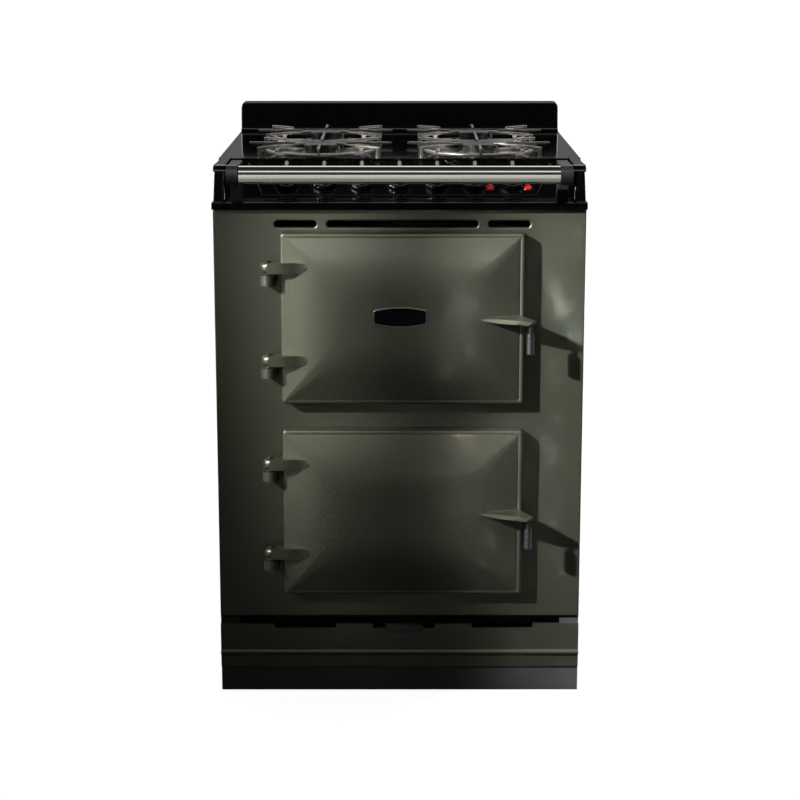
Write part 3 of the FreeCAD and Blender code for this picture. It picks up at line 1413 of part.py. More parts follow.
def make_oven_controls():
    """The grill and oven controls: a switch under the panel and a knob moulded with its own stem."""
    switches = []
    knobs = []
    names = ("grill_knob", "upper_oven_knob", "lower_oven_knob")
    first = len(GAS_KNOBS) + 1
    for knob, name in enumerate(names, first):
        across = knob_across(knob)
        low = "-fascia_sheet - tap_nose - switch_height"
        block = fascia_box(f"switch_block_{knob}", f"{across} - switch_width / 2",
                           "knob_slope_place - switch_length / 2", low,
                           ("switch_width", "switch_length", "switch_height"))
        nose = fascia_cylinder(f"switch_nose_{knob}", across, "knob_slope_place",
                               "-fascia_sheet - tap_nose", "tap_nose_radius", "tap_nose")
        bore = fascia_cylinder(f"switch_bore_{knob}", across, "knob_slope_place",
                               "-fascia_sheet - tap_nose", "spindle_radius + spindle_play", "tap_nose")
        switches.append(cut(f"switch_{knob}", fuse(f"switch_whole_{knob}", [block, nose]), [bore]))
        start = "(spindle_play - fascia_sheet - tap_nose)"
        stem = fascia_cylinder(f"stem_{knob}", across, "knob_slope_place", start, "spindle_radius",
                               f"raised_plate + knob_gap + knob_skirt - {start}")
        knobs.append(fuse(name, knob_solids(f"oven_knob_{knob}", across) + [stem]))
    return [group("oven_switches", switches)] + knobs


def make_gas_manifold():
    """The square gas pipe under the taps, and the round pipe from its end to the inlet at the back."""
    start = f"({knob_across(GAS_KNOBS[0])} - manifold_end)"
    bar = fascia_box("manifold_bar", start, "knob_slope_place - manifold_size / 2",
                     f"{MANIFOLD_TOP} - manifold_size",
                     (f"{INLET_SIDE} + manifold_size / 2 - {start}", "manifold_size", "manifold_size"))
    bar_middle = (f"({FRONT} + fascia_start + knob_slope_place * {RUN_SHARE}"
                  f" - ({MANIFOLD_TOP} - manifold_size / 2) * {RISE_SHARE})")
    panel_face = f"({BACK_PANEL} + back_sheet)"
    pipe = cylinder("supply_pipe", (INLET_SIDE, bar_middle, INLET_HEIGHT), "supply_radius",
                    f"{panel_face} - {bar_middle}", "y")
    stub = cylinder("inlet_stub_pipe", (INLET_SIDE, panel_face, INLET_HEIGHT), "inlet_radius",
                    "inlet_stub", "y")
    return fuse("gas_manifold", [bar, pipe, stub])


def make_neon_lenses():
    """Two round lenses on the raised plate, one beside each oven control."""
    lenses = []
    for knob in oven_knobs():
        across = f"{knob_across(knob)} + neon_shift"
        up = "knob_slope_place - neon_drop"
        flange = fascia_cylinder(f"lens_flange_{knob}", across, up, "raised_plate", "neon_radius",
                                 "neon_height")
        dome = on_fascia(cone(f"lens_dome_{knob}", ("0", "0", "0"), "neon_radius", "neon_radius * 2 / 3",
                              "neon_dome"), across, up, "raised_plate + neon_height")
        body = fascia_cylinder(f"lens_body_{knob}", across, up, "raised_plate - neon_body",
                               "neon_body_radius", "neon_body")
        lenses.append(fuse(f"neon_lens_{knob}", [flange, dome, body]))
    return group("neon_lenses", lenses)


def make_handrail_pieces():
    """The rail before the controls, and the two brackets that stand on the lip and hold its ends."""
    axis_back = f"({FRONT} - rail_reach + bracket_radius)"
    outer = cylinder("rail_outside", (f"-{RAIL_HALF_LENGTH}", axis_back, RAIL_HEIGHT), "rail_radius",
                     f"2 * {RAIL_HALF_LENGTH}", "x")
    inner = cylinder("rail_inside", (f"-{RAIL_HALF_LENGTH}", axis_back, RAIL_HEIGHT),
                     "rail_radius - rail_wall", f"2 * {RAIL_HALF_LENGTH}", "x")
    rail = cut("handrail", outer, [inner])
    brackets = []
    for side, start in (("left", f"-{RAIL_HALF_LENGTH} - bracket_width"), ("right", RAIL_HALF_LENGTH)):
        post = box(f"bracket_post_{side}", (start, f"{FRONT} + bracket_start", LIP_TOP),
                   ("bracket_width", "bracket_depth", f"{RAIL_HEIGHT} + bracket_arm_height / 2 - {LIP_TOP}"))
        arm = box(f"bracket_arm_{side}", (start, axis_back, f"{RAIL_HEIGHT} - bracket_arm_height / 2"),
                  ("bracket_width", f"{FRONT} + bracket_start + bracket_depth - {axis_back}",
                   "bracket_arm_height"))
        eye = cylinder(f"bracket_eye_{side}", (start, axis_back, RAIL_HEIGHT), "bracket_radius",
                       "bracket_width", "x")
        brackets.append(fuse(f"bracket_{side}", [post, arm, eye]))
    return [rail, group("handrail_brackets", brackets)]


def make_terminal_block():
    """The mains terminal block inside the back panel, above the cable hole, with its cable entry below."""
    low = "cable_hole_height + terminal_rise"
    block = box("terminal_box",
                (f"-{TERMINAL_SIDE} - terminal_width / 2", f"{BACK_PANEL} - terminal_depth", low),
                ("terminal_width", "terminal_depth", "terminal_length"))
    entry = cylinder("terminal_entry", (f"-{TERMINAL_SIDE}", f"{BACK_PANEL} - terminal_depth / 2", low),
                     "cable_hole_radius", "terminal_length / 2")
    return cut("terminal_block", block, [entry])


def make_sub_parts():
    """Every sub-part of the cooker, each the object that its file is written from."""
    parts = [
        make_base_frame(), make_levelling_feet(), make_plinth(), make_side_panels(), make_back_panel(),
        make_front_plate(), make_lower_vent_panel(), make_panel_catch(),
    ]
    for oven, centre in OVENS.items():
        parts.append(make_oven_liner(oven, centre))
        parts.append(make_door_casting(oven, centre))
        parts.append(make_door_liner(oven, centre))
        parts.append(make_door_handle(oven, centre))
    parts += [make_insulation(), make_oven_shelves(), make_upper_oven_elements()]
    parts += make_fan_pieces()
    parts += [make_door_seals(), make_door_catches(), make_badge_plate()]
    parts += make_hinge_pieces()
    parts += [make_hob_surround(), make_hob_top(), make_control_panel(), make_splashback()]
    parts += make_burner_pieces()
    parts += [make_pan_support("left", -1), make_pan_support("right", 1)]
    parts += make_gas_controls()
    parts += make_oven_controls()
    parts += [make_gas_manifold(), make_neon_lenses()]
    parts += make_handrail_pieces()
    parts += [make_terminal_block(), make_fasteners()]
    return parts


def check_document():
    """Stop if any object of the document failed to compute."""
    for item in document.Objects:
        if "Invalid" in item.State or "Error" in item.State:
            raise RuntimeError(f"{item.Label} did not compute: {item.State}")


def write_parts(parts):
    """Check every sub-part's shape and write it to its file."""
    os.makedirs("parts", exist_ok=True)
    for part in parts:
        if part.Shape.isNull() or not part.Shape.isValid() or not part.Shape.Solids:
            raise RuntimeError(f"{part.Label} has no valid solid")
    for part in parts:
        part.Shape.exportStep(f"parts/{part.Label}.step")
        print(part.Label, len(part.Shape.Solids), round(part.Shape.Volume))


sub_parts = make_sub_parts()
document.recompute()
check_document()
write_parts(sub_parts)
print("sub-parts:", len(sub_parts))
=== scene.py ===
import json
import math

import bmesh
import bpy
from mathutils import Matrix, Vector


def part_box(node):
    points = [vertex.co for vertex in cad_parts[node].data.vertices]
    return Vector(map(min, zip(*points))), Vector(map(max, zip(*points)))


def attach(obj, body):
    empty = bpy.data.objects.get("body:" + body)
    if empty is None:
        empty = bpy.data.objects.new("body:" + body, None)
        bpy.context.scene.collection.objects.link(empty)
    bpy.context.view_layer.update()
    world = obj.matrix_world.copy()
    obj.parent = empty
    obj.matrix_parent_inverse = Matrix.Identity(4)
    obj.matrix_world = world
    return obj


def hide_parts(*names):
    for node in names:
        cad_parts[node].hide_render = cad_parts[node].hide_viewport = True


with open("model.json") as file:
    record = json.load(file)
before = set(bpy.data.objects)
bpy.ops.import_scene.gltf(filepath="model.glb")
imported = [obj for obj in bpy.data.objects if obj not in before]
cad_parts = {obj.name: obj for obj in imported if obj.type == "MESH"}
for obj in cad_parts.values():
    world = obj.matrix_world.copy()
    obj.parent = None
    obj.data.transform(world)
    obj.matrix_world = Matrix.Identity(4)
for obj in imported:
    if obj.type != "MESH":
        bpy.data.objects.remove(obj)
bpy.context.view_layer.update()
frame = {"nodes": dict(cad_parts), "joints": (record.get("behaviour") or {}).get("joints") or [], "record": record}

# A range cooker in dark enamel with a black gas hob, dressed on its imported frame.
# Pieces are in millimetres until they go into a mesh; the camera, lights and cards are in metres.
# X runs right, Y back, Z up.

MM = 0.001
NODES = frame["nodes"]
JOINTS = {joint["name"]: joint for joint in frame["joints"]}


def millimetres(values):
    """Lengths of the frame in millimetres, to a thousandth."""
    return [round(value / MM, 3) for value in values]


def box_of(node):
    """The lowest and the highest corner of a node of the frame."""
    return [millimetres(corner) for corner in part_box(node)]


def middle_of(node):
    """The middle of a node's box."""
    return [(low + high) / 2 for low, high in zip(*box_of(node))]


def joint_place(name):
    """The place of a joint of the frame."""
    return millimetres(JOINTS[name]["pos_m"])


# Materials

GRAIN_LOW = 0.3
GRAIN_HIGH = 0.7
GRAIN_DETAIL = 2.0


def add_node(tree, kind, **values):
    """A node whose sockets and properties are set by name."""
    node = tree.nodes.new(kind)
    for key, value in values.items():
        label = key.replace("_", " ").title()
        if label in node.inputs:
            node.inputs[label].default_value = value
        else:
            setattr(node, key, value)
    return node


def noise(tree, scale, stretch):
    """Noise in object space, so that it moves with its piece; scale is in lumps per metre."""
    place = add_node(tree, "ShaderNodeTexCoord")
    mapping = add_node(tree, "ShaderNodeMapping")
    mapping.inputs["Scale"].default_value = stretch
    texture = add_node(tree, "ShaderNodeTexNoise", scale=scale, detail=GRAIN_DETAIL)
    tree.links.new(place.outputs["Object"], mapping.inputs["Vector"])
    tree.links.new(mapping.outputs["Vector"], texture.inputs["Vector"])
    return texture.outputs["Fac"]


def ramp(tree, fac, low, high):
    """A colour that goes from low to high across the grain."""
    node = add_node(tree, "ShaderNodeValToRGB")
    for element, position, colour in zip(node.color_ramp.elements, (GRAIN_LOW, GRAIN_HIGH), (low, high)):
        element.position = position
        element.color = (*colour, 1)
    tree.links.new(fac, node.inputs["Fac"])
    return node.outputs["Color"]


def rise(tree, value, start, end, low=0.0, high=1.0):
    """A number that goes from low to high as value goes from start to end."""
    node = add_node(tree, "ShaderNodeMapRange")
    for key, number in (("From Min", start), ("From Max", end), ("To Min", low), ("To Max", high)):
        node.inputs[key].default_value = number
    tree.links.new(value, node.inputs["Value"])
    return node.outputs["Result"]


def bump(tree, shader, fac, distance):
    """Relief of a height in metres."""
    node = add_node(tree, "ShaderNodeBump", strength=1.0, distance=distance)
    tree.links.new(fac, node.inputs["Height"])
    tree.links.new(node.outputs["Normal"], shader.inputs["Normal"])


def finish_surface(name, dark, light, grain, rough, relief=0.0, stretch=(1, 1, 1), **sockets):
    """A finish whose colour and roughness vary with a grain of so many lumps per metre."""
    material = bpy.data.materials.new(name)
    material.use_nodes = True
    tree = material.node_tree
    shader = tree.nodes["Principled BSDF"]
    fac = noise(tree, grain, stretch)
    tree.links.new(ramp(tree, fac, dark, light), shader.inputs["Base Color"])
    tree.links.new(rise(tree, fac, GRAIN_LOW, GRAIN_HIGH, *rough), shader.inputs["Roughness"])
    if relief:
        bump(tree, shader, fac, relief)
    for key, value in sockets.items():
        shader.inputs[key.replace("_", " ").title()].default_value = value
    return material


def grey(level):
    """A colour with no hue."""
    return (level, level, level)


# Of each finish: its dark and light colour, grain, roughness at both, and what else it needs
FINISHES = {
    "pewter_enamel": ((0.070, 0.074, 0.050), (0.112, 0.117, 0.086), 900, (0.50, 0.45),
                      {"relief": 0.00002, "metallic": 0.94, "coat_weight": 0.12, "coat_roughness": 0.15}),
    "black_enamel": ((0.0002, 0.0002, 0.00025), (0.0006, 0.0006, 0.0007), 60, (0.07, 0.10),
                     {"relief": 0.00001, "coat_weight": 0.4, "coat_roughness": 0.03}),
    "satin_black": (grey(0.023), grey(0.032), 1200, (0.5, 0.58), {"relief": 0.00002}),
    "oven_enamel": ((0.010, 0.012, 0.015), (0.07, 0.075, 0.08), 1400, (0.22, 0.3), {"coat_weight": 0.2}),
    "galvanised": ((0.36, 0.37, 0.38), (0.52, 0.53, 0.54), 90, (0.5, 0.36), {"metallic": 1.0}),
    "bright_steel": ((0.60, 0.585, 0.55), (0.70, 0.685, 0.65), 1500, (0.10, 0.15),
                     {"stretch": (0.02, 1, 1), "metallic": 1.0}),
    "dark_steel": ((0.09, 0.09, 0.085), (0.14, 0.14, 0.13), 900, (0.28, 0.38), {"metallic": 1.0}),
    "barrel_steel": (grey(0.13), grey(0.20), 900, (0.32, 0.40), {"stretch": (1, 1, 0.05), "metallic": 1.0}),
    "rim_steel": ((0.30, 0.30, 0.29), (0.38, 0.38, 0.37), 900, (0.34, 0.42), {"metallic": 1.0}),
    "satin_steel": ((0.50, 0.50, 0.51), (0.62, 0.62, 0.63), 900, (0.30, 0.38),
                    {"stretch": (1, 1, 0.05), "metallic": 1.0}),
    "chrome": (grey(0.72), grey(0.80), 40, (0.05, 0.09), {"metallic": 1.0}),
    "grate_iron": ((0.24, 0.23, 0.20), (0.42, 0.40, 0.355), 1100, (0.30, 0.44),
                   {"relief": 0.00005, "metallic": 0.85}),
    "burner_alloy": ((0.07, 0.068, 0.062), (0.12, 0.117, 0.108), 800, (0.45, 0.6),
                     {"relief": 0.00003, "metallic": 1.0}),
    "cap_enamel": (grey(0.003), grey(0.006), 700, (0.30, 0.4), {"relief": 0.00002}),
    "ceramic": ((0.68, 0.67, 0.63), (0.78, 0.77, 0.74), 500, (0.25, 0.32), {}),
    "knob_black": (grey(0.0012), grey(0.0026), 600, (0.16, 0.24),
                   {"coat_weight": 0.3, "coat_roughness": 0.05}),
    "dull_plastic": ((0.03, 0.03, 0.032), (0.05, 0.05, 0.052), 900, (0.55, 0.65), {"relief": 0.00003}),
    "brass": ((0.58, 0.40, 0.17), (0.68, 0.50, 0.24), 700, (0.28, 0.4), {"metallic": 1.0}),
    "lens_red": ((0.55, 0.004, 0.003), (0.75, 0.012, 0.008), 900, (0.08, 0.14),
                 {"emission_color": (1.0, 0.012, 0.008, 1), "emission_strength": 0.12}),
    "mineral_wool": ((0.14, 0.125, 0.08), (0.24, 0.22, 0.15), 500, (0.9, 1.0),
                     {"relief": 0.001, "stretch": (1, 1, 4)}),
    "seal_fibre": ((0.05, 0.05, 0.048), (0.11, 0.11, 0.105), 1600, (0.85, 0.95), {"relief": 0.0004}),
    "magnet": ((0.05, 0.05, 0.055), (0.08, 0.08, 0.085), 900, (0.45, 0.6), {}),
    "element_alloy": ((0.10, 0.085, 0.07), (0.17, 0.15, 0.13), 500, (0.45, 0.6), {"metallic": 0.8}),
}
MATERIALS = {name: finish_surface(name, *values, **more) for name, (*values, more) in FINISHES.items()}


def slot_of(place):
    """The record's slot that a material place of the frame belongs to."""
    return place.material.name.split(".")[0]


def finish_nodes():
    """Give the frame's own nodes the finishes of their slots."""
    wanted = {row["slot"] for row in frame["record"]["materials"]}
    for node in NODES.values():
        for place in node.material_slots:
            if place.material and slot_of(place) in wanted:
                place.material = MATERIALS[slot_of(place)]


finish_nodes()


# Meshes

MERGE = 0.00001
CAD_MERGE = 0.00002
FLAT_ANGLE = 1
CORNER_ANGLE = 30
FULL_WEIGHT = 100
DRESSED_STEPS = 3
ENAMELLED = []


def piece(name, mesh, slot, body, sharp=CORNER_ANGLE, finish=None):
    """An object for a mesh, smooth but for its sharp edges, that rides on a body."""
    mesh.materials.append(MATERIALS[finish or slot])
    mesh.shade_smooth()
    mesh.set_sharp_from_angle(angle=math.radians(sharp))
    item = bpy.data.objects.new(name, mesh)
    bpy.context.scene.collection.objects.link(item)
    weighted = item.modifiers.new("weighted", "WEIGHTED_NORMAL")
    weighted.keep_sharp = True
    weighted.weight = FULL_WEIGHT
    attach(item, body)
    if slot in ("pewter_enamel", "satin_black"):
        ENAMELLED.append(item)
    return item


def mesh_from(name, vertices, faces):
    """A mesh in metres from points in millimetres, with its normals turned outwards."""
    mesh = bpy.data.meshes.new(name)
    mesh.from_pydata([(x * MM, y * MM, z * MM) for x, y, z in vertices], [], faces)
    shape = bmesh.new()
    shape.from_mesh(mesh)
    bmesh.ops.remove_doubles(shape, verts=shape.verts, dist=MERGE)
    bmesh.ops.recalc_face_normals(shape, faces=shape.faces)
    shape.to_mesh(mesh)
    shape.free()
    return mesh


def loft(rings, ends=True):
    """Faces between closed loops of as many points each, with or without flat ends."""
    count = len(rings[0])
    vertices = [point for ring in rings for point in ring]
    faces = []
    for number in range(len(rings) - 1):
        low = number * count
        for step in range(count):
            after = (step + 1) % count
            faces.append((low + step, low + after, low + count + after, low + count + step))
    if ends:
        start = (len(rings) - 1) * count
        faces.append(tuple(range(count))[::-1])
        faces.append(tuple(range(start, start + count)))
    return vertices, faces


def rounded_loop(width, height, radius, steps=6):
    """Points of a rounded rectangle about the origin, counter-clockwise."""
    points = []
    half_width = width / 2 - radius
    half_height = height / 2 - radius
    corners = ((half_width, half_height), (-half_width, half_height), (-half_width, -half_height),
               (half_width, -half_height))
    for corner, (across, up) in enumerate(corners):
        for step in range(steps + 1):
            angle = math.pi / 2 * (corner + step / steps)
            points.append((across + radius * math.cos(angle), up + radius * math.sin(angle)))
    return points


def arc(centre, radius, start, end, steps):
    """Points along an arc, both ends included, with angles in degrees."""
    points = []
    for step in range(steps + 1):
        angle = math.radians(start + (end - start) * step / steps)
        points.append((centre[0] + radius * math.cos(angle), centre[1] + radius * math.sin(angle)))
    return points


def share_of(value, start, run, least=0.0):
    """How far a value has gone along a run, from least to 1."""
    return min(max((value - start) / run, least), 1)


def turned(name, profile, segments, spot, teeth=None, ends=True):
    """A surface of revolution about the third axis of a spot, from (radius, height) points."""
    rings = []
    for level, (radius, height) in enumerate(profile):
        ring = []
        for step in range(segments):
            angle = 2 * math.pi * step / segments
            reach = radius - (teeth(level, step) if teeth else 0)
            ring.append((reach * math.cos(angle), reach * math.sin(angle), height))
        rings.append(ring)
    vertices, faces = loft(rings, ends)
    return mesh_from(name, [tuple(spot @ Vector(point)) for point in vertices], faces)


def slab(name, outline, low, high, edge, steps):
    """An upright slab on a plan outline of (x, y) points, with round upper and lower edges."""
    mesh = bpy.data.meshes.new(name)
    shape = bmesh.new()
    bottom = [shape.verts.new((x * MM, y * MM, low * MM)) for x, y in outline]
    top = [shape.verts.new((x * MM, y * MM, high * MM)) for x, y in outline]
    shape.faces.new(bottom[::-1])
    shape.faces.new(top)
    count = len(outline)
    for step in range(count):
        after = (step + 1) % count
        shape.faces.new((bottom[step], bottom[after], top[after], top[step]))
    rims = [shape.edges.get((verts[step], verts[(step + 1) % count]))
            for verts in (bottom, top) for step in range(count)]
    bmesh.ops.bevel(shape, geom=rims, offset=edge * MM, segments=steps, profile=0.5, affect="EDGES",
                    clamp_overlap=False)
    bmesh.ops.recalc_face_normals(shape, faces=shape.faces)
    shape.to_mesh(mesh)
    shape.free()
    return mesh


def joined(name, meshes):
    """One mesh from several."""
    shape = bmesh.new()
    for mesh in meshes:
        shape.from_mesh(mesh)
        bpy.data.meshes.remove(mesh)
    whole = bpy.data.meshes.new(name)
    shape.to_mesh(whole)
    shape.free()
    return whole


def dressed(node, edge, moved=None, finish=None):
    """A copy of a fixed CAD node with merged faces and round edges, which stands for the node."""
    source = NODES[node]
    mesh = source.data.copy()
    mesh.materials.clear()
    shape = bmesh.new()
    shape.from_mesh(mesh)
    bmesh.ops.remove_doubles(shape, verts=shape.verts, dist=CAD_MERGE)
    bmesh.ops.dissolve_limit(shape, angle_limit=math.radians(FLAT_ANGLE), verts=shape.verts,
                             edges=shape.edges)
    bmesh.ops.recalc_face_normals(shape, faces=shape.faces)
    if moved:
        for vertex in shape.verts:
            vertex.co = moved(vertex.co / MM) * MM
    rims = [line for line in shape.edges
            if len(line.link_faces) == 2 and line.calc_face_angle() > math.radians(CORNER_ANGLE)
            and line.calc_length() > edge * MM]
    bmesh.ops.bevel(shape, geom=rims, offset=edge * MM, segments=DRESSED_STEPS, profile=0.5,
                    affect="EDGES", clamp_overlap=True)
    shape.to_mesh(mesh)
    shape.free()
    item = piece(f"{node}_dressed", mesh, slot_of(source.material_slots[0]), "cooker", finish=finish)
    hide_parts(node)
    return item


# Oven doors

# Places come from the frame; the ovens' mouths, the fan behind one of them and the doors share a middle
FRONT = box_of("front_plate")[0][1]
OVENS = {oven: middle_of(f"{oven}_door_casting")[2] for oven in ("upper", "lower")}
DOOR_MIDDLE = joint_place("oven_fan_spin")[0]
DOOR_WIDTH = 392
DOOR_HALF_HEIGHT = box_of("upper_door_casting")[1][2] - OVENS["upper"]

# The rim from behind to the front: (distance inside the outline, reach, more reach at the right side)
RIM_PROFILE = ((7, 17.3, 0), (7, 3.3, 0), (0.8, 3.3, 0), (0, 4.1, 0), (0, 17.4, 0), (0.15, 18.6, 1.4),
               (0.6, 19.7, 1.5), (1.4, 20.4, 1.6), (2.4, 20.86, 1.54), (4.6, 21.39, 1.1), (6.0, 21.72, 0.3),
               (7.2, 22.01, -0.5), (8.0, 22.21, -0.35), (8.8, 22.4, 0))
RIM_WIDTH = 8.8
RIM_REACH = 22.4
STRIP_START = 0.9
FACE_SLOPE = 0.2414
FACE_STRAIGHT = 24
FACE_BEND = 68
FACE_STEP = 3
FACE_END = 96
CORNER_RADIUS = 6.5
CORNER_LEAST = 1.2
CORNER_GROWTH = 0.28

HINGE_SIDE = joint_place("upper_door_hinge")[0]
HINGE_REACH = FRONT - joint_place("upper_door_hinge")[1]
HINGE_RISES = (-76, 76)
HINGE_HALF = 18.45
KNUCKLE_RADIUS = 13
KNUCKLE_HEIGHT = 16
KNUCKLE_EDGE = 3
ARM_UP = 19.4
ARM_HEIGHT = 17.5
ARM_EYE = 11.5
ARM_EDGE = 7.2
ARM_SINK_START = -176
ARM_SINK_RUN = 26
ARM_SINK = 0.28
ARM_FRONT = ((-200, 36.5), (-190, 36.2), (-182, 35.3), (-174, 33.6), (-168, 32.1), (-162, 31.0),
             (-156, 30.5), (-150, 30.5), (-144, 30.9))
ARM_BACK = ((-146, 20), (-190, 13.5))

HANDLE = (209, 54)
FIN_UP = 2
FIN_HALF = 3.4
FIN_BACK = ((203, 33), (200, 26), (196, 12), (160, 16), (132, 20))
FIN_ROOT = (130, 33.5)
FIN_RUN = (66.4, 28.5)
FIN_STEPS = 12
FIN_EYE = 8
FIN_EDGE = 2.4
FIN_TAPER_START = 128
FIN_TAPER_RUN = 30
FIN_TAPER_LEAST = 0.04
FIN_TAPER_POWER = 0.6
FILLET_START = 142
FILLET_RUN = 52
FILLET_SIZE = 2.6
FILLET_FIRST = 0.08
FILLET_SINK = (1, 1.2)
FILLET_INSET = 9
FILLET_ANGLES = (0, 22, 45, 68, 90)
# The handle's hanging barrel and the neck over it, as (radius, height) with heights from the neck's top
BARREL = ((0, -47), (5.2, -47), (5.9, -46.5), (6.2, -45.6), (6.2, -41.4), (5.7, -41.0), (5.7, -40.4),
          (6.1, -40.0), (6.1, -24.6), (5.7, -24.2), (5.7, -23.6), (6.2, -23.2), (6.2, -15.4), (0, -15.4))
NECK = ((0, -15.4), (6.1, -15.4), (5.8, -13.6), (5.0, -13.0), (3.0, -12.6), (3.0, 0), (0, 0))


def on_front(points):
    """Plan points from (x, reach), where reach is how far one stands off the front plate."""
    return [(x, FRONT - reach) for x, reach in points]


def face_height(inset):
    """How far the pillowed face stands off the front plane, at a distance inside the door's outline."""
    reach = inset - RIM_WIDTH
    if reach <= FACE_STRAIGHT:
        return RIM_REACH + FACE_SLOPE * reach
    reach = min(reach - FACE_STRAIGHT, FACE_BEND)
    return RIM_REACH + FACE_SLOPE * (FACE_STRAIGHT + reach - reach * reach / (2 * FACE_BEND))


def door_face(middle):
    """The cast door: four slopes from a round rim into a flat middle, and a strip down its right side."""
    profile = list(RIM_PROFILE)
    inset = RIM_WIDTH
    while inset < FACE_END:
        inset += FACE_STEP
        profile.append((inset, face_height(inset), 0))
    rings = []
    for inset, reach, strip in profile:
        radius = max(CORNER_RADIUS - inset, CORNER_LEAST + CORNER_GROWTH * inset)
        half = DOOR_WIDTH / 2 - inset
        ring = []
        for x, z in rounded_loop(2 * half, 2 * (DOOR_HALF_HEIGHT - inset), radius):
            share = share_of(x / half, STRIP_START, 1 - STRIP_START)
            ring.append((DOOR_MIDDLE + x, FRONT - reach - strip * share, middle + z))
        rings.append(ring)
    return mesh_from("face", *loft(rings))


def hinge_arm(low):
    """An arm that ends in an eye over the hinge pin and sinks into the door's face at its other end."""
    outline = arc((HINGE_SIDE, HINGE_REACH), ARM_EYE, 270, 90, 16)
    outline += ARM_FRONT + ARM_BACK
    mesh = slab("arm", on_front(outline), low, low + ARM_HEIGHT, ARM_EDGE, 6)
    middle = low + ARM_HEIGHT / 2
    for vertex in mesh.vertices:
        sunk = share_of(vertex.co.x / MM, ARM_SINK_START, ARM_SINK_RUN)
        vertex.co.z = (middle + (vertex.co.z / MM - middle) * (1 - ARM_SINK * sunk * sunk)) * MM
    return mesh


def door_fin(level):
    """The handle fin: a thin blade with a point at its root and a round end beyond the door."""
    outline = [(FIN_ROOT[0] + FIN_RUN[0] * step / FIN_STEPS, FIN_ROOT[1] + FIN_RUN[1] * step / FIN_STEPS)
               for step in range(FIN_STEPS)]
    outline += arc(HANDLE, FIN_EYE, 115, -90, 14)
    outline += FIN_BACK
    mesh = slab("fin", on_front(outline), level - FIN_HALF, level + FIN_HALF, FIN_EDGE, 4)
    for vertex in mesh.vertices:
        along = share_of(vertex.co.x / MM, FIN_TAPER_START, FIN_TAPER_RUN, FIN_TAPER_LEAST)
        vertex.co.z = (level + (vertex.co.z / MM - level) * along ** FIN_TAPER_POWER) * MM
    return mesh


def fin_fillet(level):
    """The round inner corner along the line where the top of a fin meets the door's face."""
    rings = []
    top = level + FIN_HALF - 0.1
    for step in range(FIN_STEPS + 1):
        x = FILLET_START + FILLET_RUN * step / FIN_STEPS
        size = FILLET_SIZE * math.sin(math.pi * min(step / FIN_STEPS + FILLET_FIRST, 0.5))
        reach = face_height(max(DOOR_MIDDLE + DOOR_WIDTH / 2 - x, FILLET_INSET))
        behind = reach - FILLET_SINK[0]
        below = top - FILLET_SINK[1]
        bow = [(behind, below), (behind, top + size)]
        bow += [(reach + size - size * math.cos(a), top + size - size * math.sin(a))
                for a in (math.radians(angle) for angle in FILLET_ANGLES)]
        bow.append((reach + size, below))
        rings.append([(x, FRONT - out, z) for out, z in bow])
    return mesh_from("fillet", *loft(rings))


def add_doors():
    """Both doors with what is cast on them, and their chrome barrels."""
    for oven, middle in OVENS.items():
        body = f"{oven}_door"
        parts = [door_face(middle)]
        parts += [hinge_arm(middle + rise - HINGE_HALF + ARM_UP) for rise in HINGE_RISES]
        parts += [door_fin(middle + FIN_UP), fin_fillet(middle + FIN_UP)]
        casting = piece(f"{oven}_door_face", joined(f"{oven}_door_face", parts), "pewter_enamel", body)
        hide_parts(f"{oven}_door_casting")
        top = box_of(f"{oven}_door_handle")[1][2]
        spot = Matrix.Translation((HANDLE[0], FRONT - HANDLE[1], top))
        barrel = piece(f"{oven}_door_barrel", turned("barrel", BARREL, 48, spot), "chrome", body,
                       finish="barrel_steel")
        # The neck takes dark steel in place of its chrome: a painted shade for the shadow of the fin above it.
        stem = piece(f"{oven}_door_stem", turned("stem", NECK, 48, spot), "chrome", body,
                     finish="dark_steel")
        for item in (barrel, stem):
            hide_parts(f"{oven}_door_handle")


# Badge plate

BADGE_MIDDLE = middle_of("badge_plate")
BADGE_HIGH = box_of("badge_plate")[1]
BADGE_HALF_WIDTH = BADGE_HIGH[0] - BADGE_MIDDLE[0]
BADGE_HALF_HEIGHT = BADGE_HIGH[2] - BADGE_MIDDLE[2]
BADGE_HALF_END = 11.5
BADGE_CORNER = 3.5
BADGE_CORNER_LEAST = 0.8
BADGE_CORNER_SHRINK = 0.6
BADGE_STEPS = 24
# (distance inside the plate's outline, reach) of the frame and of the field inside it
BADGE_FRAME = ((0, 0), (0, 1.6), (0.4, 2.2), (0.9, 2.5), (1.4, 2.3), (1.6, 1.6))
BADGE_FIELD = ((1.7, 1.0), (1.7, 1.75), (4, 1.85), (8, 1.95))


def badge_loop(inset):
    """Points of an oblong with arched long sides, upright ends and round corners."""
    across = BADGE_HALF_WIDTH - inset
    radius = max(BADGE_CORNER - inset * BADGE_CORNER_SHRINK, BADGE_CORNER_LEAST)
    crown = BADGE_HALF_HEIGHT - BADGE_HALF_END
    reach = across - radius
    side = []
    for step in range(BADGE_STEPS + 1):
        along = 1 - 2 * step / BADGE_STEPS
        side.append((reach * along, BADGE_HALF_END - inset + crown * (1 - (along * reach / across) ** 2)))
    low = side[0][1] - radius
    bend = [(reach + radius * math.cos(a), low + radius * math.sin(a))
            for a in (math.radians(angle) for angle in (0, 22, 45, 68))]
    half = bend + side + [(-x, z) for x, z in bend[::-1]]
    return half + [(-x, -z) for x, z in half]


def badge_mesh(name, profile):
    """A part of the plate from its (inset, reach) profile."""
    rings = [[(BADGE_MIDDLE[0] + x, BADGE_HIGH[1] - reach, BADGE_MIDDLE[2] + z)
              for x, z in badge_loop(inset)] for inset, reach in profile]
    return mesh_from(name, *loft(rings))


